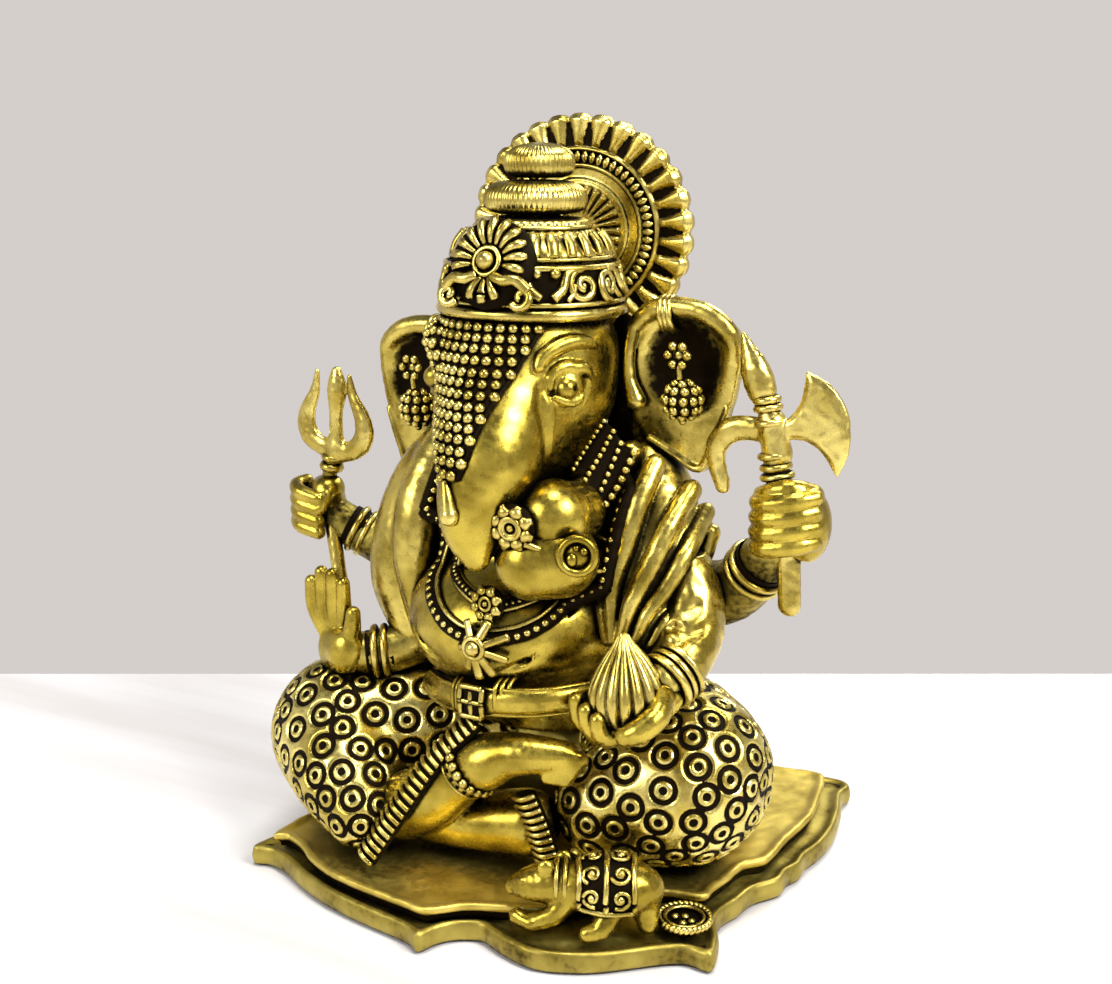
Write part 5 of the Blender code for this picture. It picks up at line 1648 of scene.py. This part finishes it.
def build_anklet():
    """A band with a row of round beads, dark spots between them and a plain lower ring."""
    home = middle("anklet_right")
    axis = unit((0.78, 0.0, 0.62))
    side, over, out = frame_of(axis)
    band_ring = turned([(5.1, -1.6), (5.7, -1.4), (5.8, 0.2), (5.3, 0.5)], home, axis, 48).shade_and_patina_all_over(0.2)
    parts = [band_ring, hoop(home - out * 1.5, axis, 5.5, 0.45, 40)]
    for k in range(ANKLET_BEADS):
        turn = 2 * math.pi * k / ANKLET_BEADS
        way = math.cos(turn) * side + math.sin(turn) * over
        parts.append(bead(home + way * 5.9 + out * 1.2, 0.95))
        # Dark spot in the gap between beads: patina and painted shade
        dark_gap = bead(home + way * 5.75 - out * 0.5, 0.5, 0.6, out).shade_and_patina_all_over()
        parts.append(dark_gap)
    place("anklet_beads", joined(*parts), ["anklet_right"])


def build_mouse():
    """The mouse lies along the plate's front edge with its nose to the figure's right."""
    clay = Clay("mouse", cell=0.3)
    clay.blob((5.2, 2.2, 1.5), (9.4, 5.6, 5.4), turn=(0, 0, 24))
    clay.rod([(-1.9, -0.5, 1.6, 4.2), (-7.4, -2.7, 1.4, 3.5), (-12.0, -4.0, 0.2, 1.7)], soft=2)
    clay.rod([(-1.6, -2.5, -0.5, 2.4), (-3.6, -4.4, -3.4, 1.9), (-6.6, -5.2, -4.9, 1.7)], soft=0.6)
    clay.rod([(6.0, -0.6, -2.1, 2.6), (5.4, -3.0, -4.3, 2.0), (3.4, -4.4, -5.1, 1.6)], soft=0.6)
    clay.rod([(10.6, 4.5, -1.3, 2.9), (11.7, 3.4, -4.8, 1.9)], soft=1)
    clay.rod([(-10.4, -5.4, -4.8, 1.6), (-7.4, -6.0, -5.2, 1.4)], soft=0.5)
    for side in (-1, 1):
        clay.blob((-4.6 + 0.6 * side, -1.6 + 2.4 * side, 5.4), (1.7, 1.1, 1.7), turn=(0, 20, 20),
                  soft=0.5)
        clay.blob((-8.8 + 0.5 * side, -3.1 + 2.2 * side, 2.6), (0.7, 0.6, 0.7), soft=0.2)
    clay.keep_above(box_of("base_plate")[1][2] + 0.1)
    skin = hammer(clay.skin(), 3.5, 0.05).hollows(8, 0.35)
    place("mouse_skin", skin, ["mouse"], SKIN)
    return skin


def build_mouse_cloth(tree):
    """A saddle cloth: a dark ground with scrolls, inside a plain border, and a collar."""
    home = middle("mouse_cloth")
    along, across = unit((0.91, 0.41, 0)), unit((-0.41, 0.91, 0))
    bend = np.linspace(-2.0, 2.0, 33)
    rows = []
    for s in np.linspace(-5.2, 5.2, 15):
        row = [home + along * s + across * (-6.6 * math.sin(b)) + (0, 0, 0.4 + 6.6 * math.cos(b))
               for b in bend]
        rows.append(lay_on(row, tree, 0.35))
    # Dark ground between the scrolls: patina and painted shade
    ground = sheet_of(rows).shade_and_patina_all_over()
    grid = np.array(rows)
    parts = [ground]
    for edge in (grid[0], grid[-1], grid[:, 0], grid[:, -1], grid[7]):
        parts.append(wire(lay_on(edge, tree, 0.6), 0.55, 8))
    for b in (-1.45, -0.75, 0.0, 0.75, 1.45):
        for s in (-2.7, 2.7):
            out = unit(across * -math.sin(b) + np.array((0, 0, math.cos(b))))
            spot = home + along * s + across * (-6.6 * math.sin(b)) + (0, 0, 6.6 * math.cos(b))
            up = np.cross(out, along)
            curl = spiral(spot, along, up, 2.0, 1.3, b + s, 1 if s > 0 else -1)
            parts.append(wire(lay_on(curl, tree, 0.7), 0.42, 6))
            parts.append(bead(lay_on([spot], tree, 0.8)[0], 0.7))
    neck = home + (-7.6, -3.2, 0.6)
    parts += [hoop(neck + along * k, along, 4.0 - 0.2 * (k < 0), 0.5, 28) for k in (-0.8, 0.8)]
    place("mouse_cloth_scrolls", joined(*parts), ["mouse_cloth"])


def build_mouse_tail():
    """The tail lies on the plate in a roped ring, with a few dots inside."""
    home = middle("mouse_tail")
    # Dark disc inside the roped ring: patina and painted shade
    parts = [turned([(0.02, -0.4), (4.4, -0.4)], home, sides=32).shade_and_patina_all_over()]
    for k in range(ROPE_TURNS):
        turn = 2 * math.pi * k / ROPE_TURNS
        spot = home + (4.7 * math.cos(turn), 4.7 * math.sin(turn), 0.1)
        lean = np.array((-math.sin(turn), math.cos(turn), 0.9))
        parts.append(bead(spot, 0.62, 1.5, lean, sides=8, rows=6))
    parts.append(hoop(home + (0, 0, 0.2), (0, 0, 1), 3.6, 0.4, 32))
    for x, y in ((0, 0.4), (1.7, -0.6), (-1.7, -0.4), (0.5, -1.9)):
        parts.append(bead(home + (x, y, 0), 0.75, 0.8))
    place("mouse_tail_rope", joined(*parts), ["mouse_tail"])


def main():
    """Build every piece."""
    build_studio()
    build_base()
    build_thighs()
    build_seat()
    build_hems()
    build_legs()
    build_anklet()
    torso = build_torso()
    left, right = build_shawls()
    build_belt()
    chest = joined(torso, left, right).tree()
    build_outer_necklace(chest)
    build_inner_necklace(chest)
    build_pendants()
    build_rear_arms()
    build_fists()
    build_front_arms()
    build_hands()
    build_trident()
    build_axe()
    head = build_head()
    build_brow_net(head.tree())
    build_ears()
    build_crown()
    build_halo()
    mouse = build_mouse()
    build_mouse_cloth(mouse.tree())
    build_mouse_tail()


main()
